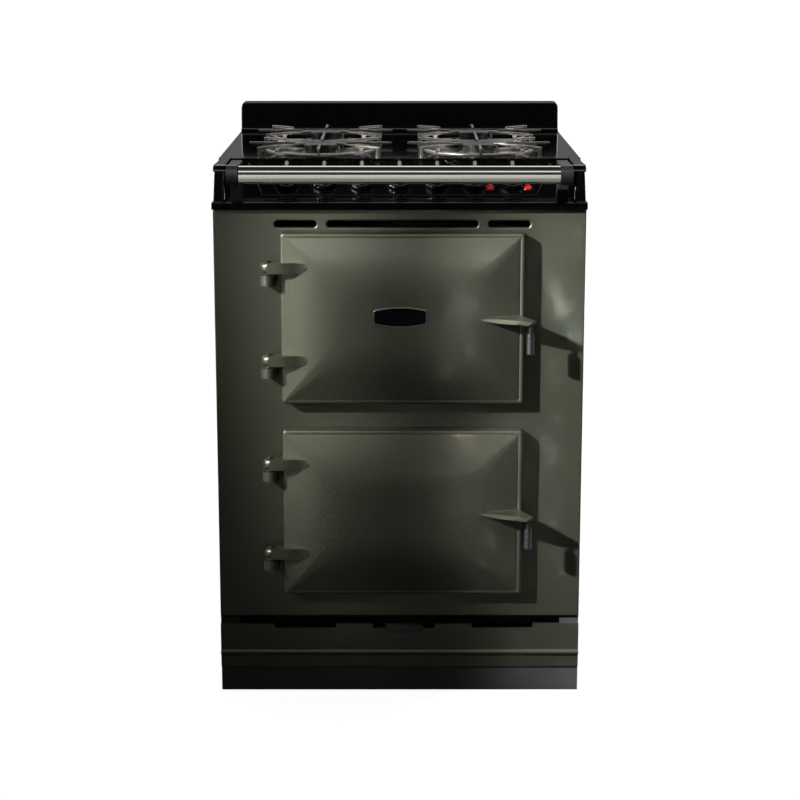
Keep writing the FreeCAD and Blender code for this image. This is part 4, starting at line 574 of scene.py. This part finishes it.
def add_badge():
    """A plain plate on the upper door: a fine bright frame round a dark bare field."""
    rim = piece("badge_frame", badge_mesh("badge_frame", BADGE_FRAME), "chrome", "upper_door",
                finish="rim_steel")
    field = piece("badge_field", badge_mesh("badge_field", BADGE_FIELD), "knob_black", "upper_door")
    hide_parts("badge_plate")
    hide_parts("badge_plate")


# Hinges

# (radius, height) of a pin with its washer and head, from the foot of its knuckle
PIN = ((0, -0.001), (3.5, 0), (3.5, 16), (7.4, 16), (8, 16.6), (8, 18.4), (7.4, 19), (3.5, 19),
       (3.5, 36.9), (4.6, 36.9), (5, 37.3), (4.9, 38.6), (3.8, 39.6), (1.8, 39.95), (0, 39.99))


def add_hinges():
    """Enamelled knuckles with round edges, and a headed pin and washer at each."""
    knuckles = []
    pins = []
    outline = arc((HINGE_SIDE, HINGE_REACH), KNUCKLE_RADIUS, 180, 0, 20)
    outline += [(HINGE_SIDE + KNUCKLE_RADIUS, 0), (HINGE_SIDE - KNUCKLE_RADIUS, 0)]
    for middle in OVENS.values():
        for level in HINGE_RISES:
            foot = middle + level - HINGE_HALF
            knuckles.append(slab("knuckle", on_front(outline[::-1]), foot, foot + KNUCKLE_HEIGHT,
                                 KNUCKLE_EDGE, 3))
            spot = Matrix.Translation((HINGE_SIDE, FRONT - HINGE_REACH, foot))
            pins.append(turned("pin", PIN, 32, spot))
    blocks = piece("knuckles", joined("knuckles", knuckles), "pewter_enamel", "cooker")
    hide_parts("hinge_knuckles")
    rods = piece("pins", joined("pins", pins), "chrome", "cooker", finish="dark_steel")
    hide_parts("hinge_pins")


add_doors()
add_badge()
add_hinges()


# Controls

HALF_WIDTH, HOB_BACK, HOB = box_of("hob_top")[1]
EAR_FRONT = box_of("hob_top")[0][1]
LIP = box_of("hob_top")[0][2]
PANEL_FRONT = box_of("control_panel")[0][1]
PANEL_RISE = box_of("control_panel")[1][2] - LIP
PANEL_RUN = 78
LEAN = math.atan2(PANEL_RISE, PANEL_RUN)
SLOPE = Matrix.Translation((0, PANEL_FRONT, LIP)) @ Matrix.Rotation(LEAN, 4, "X")
KNOB_PITCH = joint_place("tap_2_turn")[0] - joint_place("tap_1_turn")[0]
KNOB_UP = 36
KNOB_BASE = 5.1
KNOB_BODIES = ("hob_knob_1", "hob_knob_2", "hob_knob_3", "hob_knob_4", "grill_knob", "upper_oven_knob",
               "lower_oven_knob")
MIDDLE_KNOB = 4

# Profiles are (radius, height over the knob's base); the first three points are the bore for the stem
KNOB_PROFILE = ((0, 17.7), (4.3, 17.7), (4.3, 0), (19.0, 0), (20.2, 0.5), (20.5, 1.4), (20.3, 5.5),
                (19.6, 7.2), (18.4, 8.0), (17.0, 8.2), (16.4, 9.4), (15.2, 13.0), (14.0, 15.2), (12.4, 16.0),
                (6.6, 16.2), (5.2, 18.6), (0, 18.6))
RIBBED_LEVELS = (5, 6)
RIB_DEPTH = 0.35
KNOB_SEGMENTS = 160
COLLAR = ((15.3, 12.2), (15.8, 12.4), (13.9, 15.4), (13.5, 15.4), (13.2, 15.0), (15.3, 12.2))
GRIP_LENGTH = 19
GRIP_WAIST = 0.16
# Levels of (height, half length, half width, corner radius)
GRIP_TOP = ((17.9, 18.8, 4.3, 2.4), (25, 18.2, 3.9, 2.2), (27.6, 17.4, 3.3, 1.8), (28.6, 16.2, 2.2, 1.2))
GRIP_WEB = ((8, 6.75, 4.5, 2.0), (18.2, 6.7, 4.3, 2.0))
WEB_HALF = 6.75
# The pointer's underside and top, as (distance up the panel, height)
POINTER_LOW = ((-16.5, 28.3), (16.6, 28.3), (18.4, 26.6), (19.2, 22.0), (19.3, 12.0))
POINTER_TOP = ((-16.0, 29.0), (17.0, 29.0), (19.1, 27.2), (20.0, 22.2), (20.0, 12.4))
POINTER_HALF = 2.1
POINTER_EDGE = 0.4

# Profiles over the control panel itself
KNOB_RING = ((20.9, 1.5), (22.3, 1.5), (22.5, 1.8), (22.2, 2.2), (21.2, 2.2), (20.9, 1.5))
SYMBOL_ACROSS = 29.7
SYMBOL_UP = 83
SYMBOL_FIELD = ((0, -0.2), (8.3, -0.2), (8.3, 0.5), (7.9, 0.8), (0, 0.8))
SYMBOL_RIM = ((8.2, -0.2), (8.6, -0.2), (8.7, 0.5), (8.5, 0.95), (8.2, 0.9), (8.2, -0.2))
OVEN_KNOBS = (6, 7)
LENS_ACROSS = 25
LENS_DROP = 12
LENS_FOOT = ((0, -12.4), (4, -12.4), (4, 1.5), (6, 1.5))
LENS_RADIUS = 6.0
LENS_START = 2.6
LENS_HEIGHT = 3.3
LENS_TIP = (0, 5.95)
BEZEL = ((6.1, 1.5), (7.6, 1.5), (7.7, 2.2), (7.0, 2.9), (6.1, 2.8), (6.1, 1.5))

COLLARS = []
POINTERS = []


def on_slope(number, across=0.0, up=KNOB_UP, out=0.0):
    """A frame on the control panel at a knob or beside it, whose third axis points out of the panel."""
    side = (number - MIDDLE_KNOB) * KNOB_PITCH + across
    return SLOPE @ Matrix.Translation((side, up, out))


def grip_bar(name, spot, levels, middle=0.0):
    """A part of the raised bar of a knob, narrow at its top, with a shallow waist and round ends."""
    rings = []
    for out, half_length, half_width, radius in levels:
        ring = []
        for x, y in rounded_loop(2 * half_width, 2 * half_length, radius, 5):
            waist = 1 - GRIP_WAIST * (1 - ((middle + y) / GRIP_LENGTH) ** 2)
            ring.append(tuple(spot @ Vector((x * waist, middle + y, out))))
        rings.append(ring)
    return mesh_from(name, *loft(rings))


def ribs(level, step):
    """The fine grooves round the skirt of a knob."""
    return RIB_DEPTH if level in RIBBED_LEVELS and step % 4 in (2, 3) else 0.0


def pointer_mesh(spot):
    """The bright line along a knob's bar and down its upper end."""
    rings = []
    for (low_up, low_out), (up, out) in zip(POINTER_LOW, POINTER_TOP):
        narrow = POINTER_HALF - POINTER_EDGE
        section = ((-POINTER_HALF, low_up, low_out), (POINTER_HALF, low_up, low_out), (narrow, up, out),
                   (-narrow, up, out))
        rings.append([tuple(spot @ Vector(point)) for point in section])
    return mesh_from("pointer", *loft(rings))


def add_knobs():
    """Seven knobs: a finely ribbed skirt, a hub, a grip bar with a bright pointer, and a ring beneath."""
    for number, body in enumerate(KNOB_BODIES, 1):
        spot = on_slope(number, out=KNOB_BASE)
        parts = [turned("skirt", KNOB_PROFILE, KNOB_SEGMENTS, spot, ribs), grip_bar("grip", spot, GRIP_TOP)]
        parts += [grip_bar("web", spot, GRIP_WEB, side * (GRIP_LENGTH - WEB_HALF)) for side in (-1, 1)]
        knob = piece(f"knob_{number}", joined(f"knob_{number}", parts), "knob_black", body)
        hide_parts(body)
        pointer = piece(f"knob_{number}_pointer", pointer_mesh(spot), "chrome", body, finish="satin_steel")
        POINTERS.append(pointer)
        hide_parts(body)
        collar = piece(f"knob_{number}_collar", turned("collar", COLLAR, 96, spot, ends=False), "chrome",
                       body, finish="satin_steel")
        COLLARS.append(collar)
        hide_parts(body)
        piece(f"knob_ring_{number}", turned("knob_ring", KNOB_RING, 96, on_slope(number), ends=False),
              "knob_black", "cooker")


def add_symbol_discs():
    """A small glossy disc with a pale rim beside each knob, near the top of the panel."""
    for number in range(1, len(KNOB_BODIES) + 1):
        spot = on_slope(number, SYMBOL_ACROSS, SYMBOL_UP)
        piece(f"symbol_disc_{number}", turned("disc", SYMBOL_FIELD, 48, spot), "knob_black", "cooker")
        piece(f"symbol_rim_{number}", turned("rim", SYMBOL_RIM, 64, spot, ends=False), "bright_steel",
              "cooker")


def add_neon_lenses():
    """Two red domed lenses in dark bezels beside the oven controls."""
    lenses = []
    dome = [(LENS_RADIUS * math.cos(a), LENS_START + LENS_HEIGHT * math.sin(a))
            for a in (math.radians(angle) for angle in range(0, 86, 12))]
    for number in OVEN_KNOBS:
        spot = on_slope(number, LENS_ACROSS, KNOB_UP - LENS_DROP)
        lenses.append(turned("lens", list(LENS_FOOT) + dome + [LENS_TIP], 40, spot))
        piece(f"neon_bezel_{number}", turned("bezel", BEZEL, 48, spot, ends=False), "knob_black", "cooker")
    domes = piece("neon_domes", joined("neon_domes", lenses), "lens_red", "cooker")
    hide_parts("neon_lenses")


add_knobs()
add_symbol_discs()
add_neon_lenses()


# Burners and pan supports

BURNERS = {name: middle_of(f"burner_cap_{name}")[:2]
           for name in ("front_left", "rear_left", "front_right", "rear_right")}

# Profiles and sections here have their heights over the hob
CROWN = ((20, 2), (25.2, 2), (26, 2.8), (26, 4.5), (25.9, 4.7), (25.9, 11.2), (26, 11.4), (26, 12.4),
         (25.4, 13), (20, 13), (20, 2))
CROWN_PORTS = 36
PORT_LEVELS = (4, 5)
PORT_DEPTH = 1.7
CAP = ((0, 9), (19.2, 9), (19.5, 9.4), (19.5, 13), (27.2, 13), (27.8, 13.4), (28, 14.1), (27.8, 15.2),
       (27.0, 16.2), (25.4, 17.1), (23.0, 17.7), (19.0, 17.95), (12, 18), (0, 18))

# Stations of a cast bar: (reach, half width, low, high)
FINGER = ((43, 1.2, 17.4, 19.2), (45, 2.0, 16.4, 19.8), (54, 2.3, 16, 20), (80, 2.5, 15.6, 20),
          (86, 2.6, 7.4, 20), (94, 2.6, 7.4, 20), (100, 2.5, 15.6, 20), (114, 2.4, 15.8, 20),
          (119.4, 2.1, 16.4, 19.8), (121, 1.2, 17.4, 19.2))
SHORT_FINGER = FINGER[:5] + ((93, 2.6, 7.6, 20), (95, 2.3, 10, 19.6), (96, 1.5, 13, 18.8))
MIDDLE_BAR = FINGER[:6] + ((98, 2.5, 15.6, 20), (107, 2.5, 15.6, 20), (111, 2.6, 7.4, 20),
                           (119, 2.6, 7.4, 20), (125, 2.5, 15.6, 20), (151, 2.3, 16, 20),
                           (160, 2.0, 16.4, 19.8), (162, 1.2, 17.4, 19.2))
BRACE = ((76, 1.4, 16.6, 19), (78, 2.2, 16, 19.8), (85, 2.4, 15.6, 20), (87.5, 2.5, 7.4, 20),
         (92.5, 2.5, 7.4, 20), (95, 2.4, 15.6, 20), (118, 2.3, 15.6, 20), (126.6, 2.1, 16, 19.6),
         (128, 1.3, 17, 18.8))
BRACE_TURNS = (38, 142, 218, -38)
WEB_HALF_WIDTH = 1.5
BACK_SHARE = 0.45
SHOULDER_SHARE = 0.15
SHOULDER_MOST = 1.2
SHOULDER_HALF = 0.4
RING_SECTION = ([(88.2, 4.2), (91.8, 4.2), (92.8, 6.4)] + arc((90, 7.2), 2.8, 0, 180, 6)
                + [(87.2, 6.4), (88.2, 4.2)])
LEG_REACH = 124
LEG_ROUNDING = 0.4
LEG_LEVELS = ((0, 2.7), (0.6, 3.2), (5, 2.6), (10, 2.6), (16, 2.9), (18.5, 2.6), (19.4, 1.8))


def ports(level, step):
    """The gas ports round a burner's crown."""
    return PORT_DEPTH if level in PORT_LEVELS and step % 4 in (2, 3) else 0.0


def add_burners():
    """Crowns with gas ports round them, and loose caps with round edges."""
    crowns = []
    for name, (x, y) in BURNERS.items():
        spot = Matrix.Translation((x, y, HOB))
        crowns.append(turned("crown", CROWN, 4 * CROWN_PORTS, spot, ports, ends=False))
        top = piece(f"cap_{name}", turned("cap", CAP, 72, spot), "cap_enamel", f"burner_cap_{name}")
        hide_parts(f"burner_cap_{name}")
    ring = piece("crowns", joined("crowns", crowns), "burner_alloy", "cooker")
    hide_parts("burner_crowns")


def cast_bar(name, middle, turn, stations):
    """A cast bar that points away from a burner: a thin web with a round back, at each station."""
    rings = []
    lean = math.radians(turn)
    for reach, half, low, high in stations:
        depth = high - low
        crown = min(half, depth * BACK_SHARE)
        web = min(half, WEB_HALF_WIDTH)
        shoulder = high - crown - min(SHOULDER_MOST, depth * SHOULDER_SHARE)
        under = shoulder - SHOULDER_HALF
        over = shoulder + SHOULDER_HALF
        section = [(-web, low), (web, low), (web, under), (half, over)]
        section += [(half * math.cos(a), high - crown + crown * math.sin(a))
                    for a in (math.radians(angle) for angle in range(0, 181, 30))]
        section += [(-half, over), (-web, under)]
        rings.append([(middle[0] + reach * math.cos(lean) - side * math.sin(lean),
                       middle[1] + reach * math.sin(lean) + side * math.cos(lean), HOB + height)
                      for side, height in section])
    return mesh_from(name, *loft(rings))


def support_leg(middle, turn):
    """A short foot under the end of a brace."""
    lean = math.radians(turn)
    x = middle[0] + LEG_REACH * math.cos(lean)
    y = middle[1] + LEG_REACH * math.sin(lean)
    rings = [[(x + a, y + b, HOB + height)
              for a, b in rounded_loop(2 * half, 2 * half, half * LEG_ROUNDING, 3)]
             for height, half in LEG_LEVELS]
    return mesh_from("leg", *loft(rings))


def add_pan_supports():
    """Two lift-off cast supports, each a pair of rings with tapered fingers, braces and feet."""
    for side in ("left", "right"):
        parts = []
        for row, outward in (("front", -90), ("rear", 90)):
            middle = BURNERS[f"{row}_{side}"]
            parts.append(turned("ring", RING_SECTION, 96, Matrix.Translation((*middle, HOB)), ends=False))
            for turn in (0, 180):
                parts.append(cast_bar("finger", middle, turn, FINGER))
            parts.append(cast_bar("finger", middle, outward, SHORT_FINGER))
            for turn in BRACE_TURNS:
                parts.append(cast_bar("brace", middle, turn, BRACE))
                parts.append(support_leg(middle, turn))
        parts.append(cast_bar("middle_bar", BURNERS[f"front_{side}"], 90, MIDDLE_BAR))
        support = piece(f"support_{side}", joined(f"support_{side}", parts), "grate_iron",
                        f"pan_support_{side}")
        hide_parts(f"pan_support_{side}")


add_burners()
add_pan_supports()


# Body and hob with rounded edges

BODY_EDGES = {"front_plate": 1.6, "lower_vent_panel": 1.6, "plinth": 0.8, "side_panels": 0.8,
              "hob_surround": 2.0, "control_panel": 0.7, "panel_catch": 0.6}
BRACKET_EDGE = 3.0
HOB_EDGE = 1.0
SIDE_SHARP = 35

# The raised sides of the hob: the sheet's own ones are drawn in, and round ones stand over them
EAR_INSIDE = 279
EAR_END = -150
EAR_NARROW = (284, 296)
EAR_SETBACK = 5
EAR_MIDDLE = LIP + 25
EAR_DROP = 4
EAR_LOW = 280.2
EAR_EDGE = 5.0
EAR_RADIUS = 15
EAR_OUTLINE = ([(EAR_FRONT, LIP)] + arc((-232.2, HOB - EAR_RADIUS), EAR_RADIUS, 161, 90, 10)
               + [(EAR_END, HOB), (-146, HOB - 1.4), (-130, HOB - 2), (-130, LIP)])

# The splashback's section, from its foot at the back over its top and down the front into a cove
SPLASH_COVE = HOB + 8.5
SPLASH_ROUND = 3
SPLASH_TOP = box_of("splashback")[1][2] - SPLASH_ROUND
SPLASH_RUN = 42
SPLASH_SECTION = ([(0, HOB), (0, SPLASH_TOP)] + arc((-3, SPLASH_TOP), SPLASH_ROUND, 30, 90, 2)
                  + arc((-37, SPLASH_TOP), SPLASH_ROUND, 90, 165, 3)
                  + [(-40.6, SPLASH_TOP - 4), (-45, SPLASH_COVE)]
                  + arc((-53, SPLASH_COVE), 8, -15, -90, 5) + [(-53, HOB)])
SPLASH_INSETS = (0, 0.3, 1.0, 2.2, 3.6, 5.2, 7, 9)
SPLASH_CORNER = 9
SPLASH_END = 1.2
SPLASH_NARROW = 0.7
SPLASH_FACE = -20


def inside_ear(place):
    """Where a corner of the front part of a raised side goes, so that the round ear covers it."""
    if abs(place.x) < EAR_INSIDE or place.y > EAR_END:
        return place
    across = min(max(abs(place.x), EAR_NARROW[0]), EAR_NARROW[1])
    return Vector((math.copysign(across, place.x), place.y + EAR_SETBACK,
                   place.z - (EAR_DROP if place.z > EAR_MIDDLE else 0)))


def add_ears():
    """The raised sides of the hob before its level part, with wide round edges."""
    ears = []
    for name, sign in (("left", -1), ("right", 1)):
        mesh = slab("ear", EAR_OUTLINE, EAR_LOW, HALF_WIDTH, EAR_EDGE, 6)
        mesh.transform(Matrix(((0, 0, sign, 0), (1, 0, 0, 0), (0, 1, 0, 0), (0, 0, 0, 1))))
        if sign < 0:
            mesh.flip_normals()
        ear = piece(f"ear_{name}", mesh, "black_enamel", "cooker", SIDE_SHARP)
        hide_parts("hob_top")
        ears.append(ear)
    return ears


def add_splashback():
    """The upstand behind the hob: round upper corners, a soft top edge, and a cove at its foot."""
    rings = []
    for sign, insets in ((-1, SPLASH_INSETS), (1, SPLASH_INSETS[::-1])):
        for inset in insets:
            drop = SPLASH_CORNER - math.sqrt(SPLASH_CORNER ** 2 - (SPLASH_CORNER - inset) ** 2)
            narrow = max(0, SPLASH_END - inset) * SPLASH_NARROW
            ring = []
            for y, z in SPLASH_SECTION:
                share = share_of(z, SPLASH_COVE, SPLASH_RUN)
                ring.append((sign * (HALF_WIDTH - inset),
                             HOB_BACK + y - narrow * (1 if y > SPLASH_FACE else -1), z - drop * share ** 2))
            rings.append(ring)
    wall = piece("splash_wall", mesh_from("splash_wall", *loft(rings)), "black_enamel", "cooker",
                 SIDE_SHARP)
    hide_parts("splashback")
    return wall


for node_name, edge_radius in BODY_EDGES.items():
    dressed(node_name, edge_radius)
dressed("handrail_brackets", BRACKET_EDGE, finish="cap_enamel")
GLOSSY = [dressed("hob_top", HOB_EDGE, moved=inside_ear)]
GLOSSY += add_ears()
GLOSSY.append(add_splashback())


# Handrail

RAIL_MIDDLE = middle_of("handrail")
RAIL_HALF = box_of("handrail")[1][0]
RAIL_END = ((0, RAIL_HALF), (12.6, RAIL_HALF), (13.4, RAIL_HALF - 0.6), (14.2, RAIL_HALF - 1.6))
RAIL_PROFILE = [(radius, -along) for radius, along in RAIL_END] + list(RAIL_END[::-1])


def add_handrail():
    """The polished tube before the controls, with a small step where each end meets its bracket."""
    spot = Matrix.Translation(RAIL_MIDDLE) @ Matrix.Rotation(math.pi / 2, 4, "Y")
    rail = piece("rail_tube", turned("rail", RAIL_PROFILE, 128, spot), "bright_steel", "cooker")
    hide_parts("handrail")
    return rail


RAIL = add_handrail()


# Camera

CAMERA_PLACE = (0.0007, -3.1505, 1.2449)
CAMERA_TILT = 11.05
CAMERA_SENSOR = 36
CAMERA_LENS = 81.83
CAMERA_SHIFT = -0.13


def add_camera():
    """The photograph's viewing place: a long lens a little above the hob, tipped down at the doors."""
    camera = bpy.data.objects.new("camera", bpy.data.cameras.new("camera"))
    bpy.context.scene.collection.objects.link(camera)
    camera.location = CAMERA_PLACE
    camera.rotation_euler = (math.radians(90 - CAMERA_TILT), 0, 0)
    camera.data.sensor_width = CAMERA_SENSOR
    camera.data.lens = CAMERA_LENS
    camera.data.shift_y = CAMERA_SHIFT
    bpy.context.scene.camera = camera


add_camera()


# Floor and world

FLOOR_REACH = 40
FLOOR_GLOW = 0.94

# Bands of the studio in reflections: (place from nadir to zenith, level, warmth)
FRONT_BANDS = ((0.000, 0.02, 0), (0.740, 0.02, 0), (0.780, 0.24, 0), (0.845, 0.24, 0), (0.862, 1.5, 0),
               (0.900, 1.5, 0), (0.915, 0.3, 0), (0.950, 0.1, 0), (0.970, 0.02, 0), (1.000, 0.02, 0))
BACK_BANDS = ((0.000, 0.02, 0), (0.500, 0.02, 0), (0.520, 0.05, 0), (0.660, 0.05, 0), (0.700, 1.6, 0),
              (0.830, 1.6, 0), (0.880, 0.14, 1), (0.940, 0.1, 1), (0.965, 0.02, 0), (1.000, 0.02, 0))
BAND_WARMTH = (0.03, 0.12)
LOW_BACK = (0.15, 0.153, 0.16, 1)
SIDE_GLOW = (0.55, 0.56, 0.58, 1)
# Where each part of the world fades in: from the first height or side to the second
LOW_BACK_TOP = (0.42, 0.30)
LOW_BACK_FOOT = (0.0, 0.1)
SIDE_START = (0.3, 0.45)
SIDE_FOOT = (-0.6, -0.4)
SIDE_TOP = (0.45, 0.35)
BACK_START = (-0.05, 0.05)
FILL = (0.015, 0.015, 0.015, 1)
WHITE = (1, 1, 1, 1)


def add_floor():
    """A plain pale floor that takes the object's shadow but lends it no light."""
    mesh = bpy.data.meshes.new("floor")
    corners = [(-FLOOR_REACH, -FLOOR_REACH, 0), (FLOOR_REACH, -FLOOR_REACH, 0),
               (FLOOR_REACH, FLOOR_REACH, 0), (-FLOOR_REACH, FLOOR_REACH, 0)]
    mesh.from_pydata(corners, [], [(0, 1, 2, 3)])
    floor = bpy.data.objects.new("floor", mesh)
    bpy.context.scene.collection.objects.link(floor)
    mesh.materials.append(finish_surface("floor", grey(0.80), grey(0.82), 3, (0.9, 0.9),
                                         emission_color=WHITE, emission_strength=FLOOR_GLOW))
    floor.visible_diffuse = False
    floor.visible_glossy = False


def colour_bands(tree, fac, stops):
    """Grey and warm levels at places between 0 and 1."""
    bands = add_node(tree, "ShaderNodeValToRGB")
    elements = bands.color_ramp.elements
    while len(elements) < len(stops):
        elements.new(0.5)
    for element, (position, level, warm) in zip(elements, stops):
        element.position = position
        element.color = (level, level * (1 - BAND_WARMTH[0] * warm), level * (1 - BAND_WARMTH[1] * warm), 1)
    tree.links.new(fac, bands.inputs["Fac"])
    return bands.outputs["Color"]


def mixed(tree, fac, first, second):
    """The first colour where fac is 0 and the second where it is 1; the second may be a plain colour."""
    node = add_node(tree, "ShaderNodeMix", data_type="RGBA")
    colours = {entry.name: entry for entry in node.inputs if entry.type == "RGBA"}
    tree.links.new(fac, node.inputs["Factor"])
    tree.links.new(first, colours["A"])
    if isinstance(second, tuple):
        colours["B"].default_value = second
    else:
        tree.links.new(second, colours["B"])
    return [entry for entry in node.outputs if entry.type == "RGBA"][0]


def maths(tree, kind, *values):
    """A product or the like of the numbers from the sockets given."""
    node = add_node(tree, "ShaderNodeMath", operation=kind)
    for socket, value in zip(node.inputs, values):
        tree.links.new(value, socket)
    return node.outputs["Value"]


def add_world():
    """White to the camera; in reflections a dark studio with bright bands above and at both sides."""
    world = bpy.data.worlds.new("studio")
    bpy.context.scene.world = world
    world.use_nodes = True
    tree = world.node_tree
    rays = add_node(tree, "ShaderNodeLightPath")
    place = add_node(tree, "ShaderNodeTexCoord")
    axes = add_node(tree, "ShaderNodeSeparateXYZ")
    tree.links.new(place.outputs["Generated"], axes.inputs["Vector"])
    x, y, z = (axes.outputs[axis] for axis in "XYZ")
    height = rise(tree, z, -1, 1)
    front = colour_bands(tree, height, FRONT_BANDS)
    back = colour_bands(tree, height, BACK_BANDS)
    low_back = maths(tree, "MULTIPLY", rise(tree, z, *LOW_BACK_TOP), rise(tree, z, *LOW_BACK_FOOT))
    back = mixed(tree, low_back, back, LOW_BACK)
    aside = maths(tree, "ABSOLUTE", x)
    beside = maths(tree, "MULTIPLY", rise(tree, aside, *SIDE_START), rise(tree, z, *SIDE_FOOT))
    beside = maths(tree, "MULTIPLY", beside, rise(tree, z, *SIDE_TOP))
    back = mixed(tree, beside, back, SIDE_GLOW)
    around = mixed(tree, rise(tree, y, *BACK_START), front, back)
    soft = mixed(tree, rays.outputs["Is Diffuse Ray"], around, FILL)
    seen = mixed(tree, rays.outputs["Is Camera Ray"], soft, WHITE)
    tree.links.new(seen, tree.nodes["Background"].inputs["Color"])


# Lights and cards

KEY_WAY = Vector((-0.728, -0.502, 0.467))
KEY_REACH = 3.6
KEY_RADIUS = 0.05
# (name, target, power, cone, height over width)
KEYS = (
    ("key_right", (0.37, -0.263, 0.59), 3200, 5.6, 5.4),
    ("key_left", (-0.145, -0.27, 0.66), 2300, 2.7, 6.0),
)
# (name, azimuth, elevation, reach, target, power, radius, cone, height over width)
SOFTS = (
    ("left_soft", -40, -6, 3.0, (-0.085, -0.29, 0.52), 95, 0.22, 5.0, 3.8),
    ("front_soft", -6, 17, 3.2, (-0.03, -0.29, 0.79), 60, 0.3, 11.6, 1.45),
    ("low_soft", 4, -1, 3.0, (0.08, -0.27, 0.06), 44, 0.4, 15, 0.5),
    ("top_soft", -8, -9, 3.0, (0.02, -0.27, 0.83), 12, 0.3, 19, 0.34),
)
# Cards before the rail: (elevation, angle across, level, warmth)
RAIL_CARDS = ((-2, 16, 0.85, 0), (-21, 20, 0.75, 1), (-42, 20, 0.45, 1), (-66, 26, 0.26, 1),
              (-94, 26, 0.27, 1), (-120, 24, 0.14, 1))
RAIL_CARD_WIDTH = 3.6
RAIL_CARD_REACH = 2.0
RAIL_CENTRE = (0, -0.32, 0.885)
# (name, the pieces that it is for, centre, azimuth, elevation, reach, size, level)
CARDS = (
    ("collar_card", "collars", (0, -0.22, 0.86), 0, -10, 2.0, (3.0, 0.7), 1.6),
    ("pointer_card", "pointers", (0, -0.22, 0.88), 0, 102, 2.0, (3.0, 0.9), 0.4),
    ("left_card", "glossy", (0, -0.2, 0.86), -84, 14, 2.2, (1.2, 1.6), 16),
    ("right_card", "glossy", (0, -0.2, 0.86), 84, 14, 2.2, (1.2, 1.6), 16),
)
CARD_WARMTH = (0.015, 0.08)


def away(centre, azimuth, elevation, reach):
    """A place at a reach from a centre, with azimuth 0 in front of the object and 90 at its right."""
    a = math.radians(azimuth)
    e = math.radians(elevation)
    return centre + Vector((math.sin(a) * math.cos(e), -math.cos(a) * math.cos(e), math.sin(e))) * reach


def add_light(name, kind, place, target, power, **values):
    """A light at a place, turned to a target."""
    light = bpy.data.lights.new(name, kind)
    light.energy = power
    for key, value in values.items():
        setattr(light, key, value)
    item = bpy.data.objects.new(name, light)
    bpy.context.scene.collection.objects.link(item)
    item.location = place
    item.rotation_euler = (Vector(target) - Vector(place)).to_track_quat("-Z", "Y").to_euler()
    item.visible_camera = False
    return item


def add_spot(name, place, target, power, radius, cone, tall):
    """A soft-edged spot whose pool of light is drawn out upwards."""
    spot = add_light(name, "SPOT", place, target, power, shadow_soft_size=radius,
                     spot_size=math.radians(cone), spot_blend=1.0)
    spot.scale = (1.0, tall, 1.0)
    return spot


def lit_alone(name, pieces):
    """A collection of the pieces that some lights are meant for alone."""
    chosen = bpy.data.collections.new(name)
    for item in pieces:
        chosen.objects.link(item)
    return chosen


def add_card(name, centre, azimuth, elevation, reach, size, level, receivers, warm=0.0):
    """A bright card of a given level that faces a centre and is seen only in its receivers."""
    wide, tall = size
    centre = Vector(centre)
    place = away(centre, azimuth, elevation, reach)
    card = add_light(name, "AREA", place, centre, level * math.pi * tall * wide, shape="RECTANGLE",
                     size=wide, size_y=tall)
    card.data.color = (1, 1 - CARD_WARMTH[0] * warm, 1 - CARD_WARMTH[1] * warm)
    card.light_linking.receiver_collection = receivers


def add_lights():
    """Two keys from the upper left, and soft spots that only the enamel takes."""
    enamelled = lit_alone("enamelled", ENAMELLED)
    for name, target, power, cone, tall in KEYS:
        target = Vector(target)
        add_spot(name, target + KEY_WAY * KEY_REACH, target, power, KEY_RADIUS, cone, tall)
    for name, azimuth, elevation, reach, target, power, radius, cone, tall in SOFTS:
        target = Vector(target)
        place = away(target, azimuth, elevation, reach)
        soft = add_spot(name, place, target, power, radius, cone, tall)
        soft.light_linking.receiver_collection = enamelled


def add_cards():
    """Cards for the rail, the knobs' bright parts, and the raised sides and back of the hob."""
    polished = lit_alone("polished", [RAIL])
    for number, (angle, width, level, warm) in enumerate(RAIL_CARDS, 1):
        tall = 2 * RAIL_CARD_REACH * math.tan(math.radians(width / 2))
        add_card(f"rail_card_{number}", RAIL_CENTRE, 0, angle, RAIL_CARD_REACH, (RAIL_CARD_WIDTH, tall),
                 level, polished, warm)
    groups = {"collars": COLLARS, "pointers": POINTERS, "glossy": GLOSSY}
    receivers = {name: lit_alone(name, pieces) for name, pieces in groups.items()}
    for name, group, *values in CARDS:
        add_card(name, *values, receivers[group])


add_floor()
add_world()
add_lights()
add_cards()

bpy.context.scene.view_settings.view_transform = "Standard"
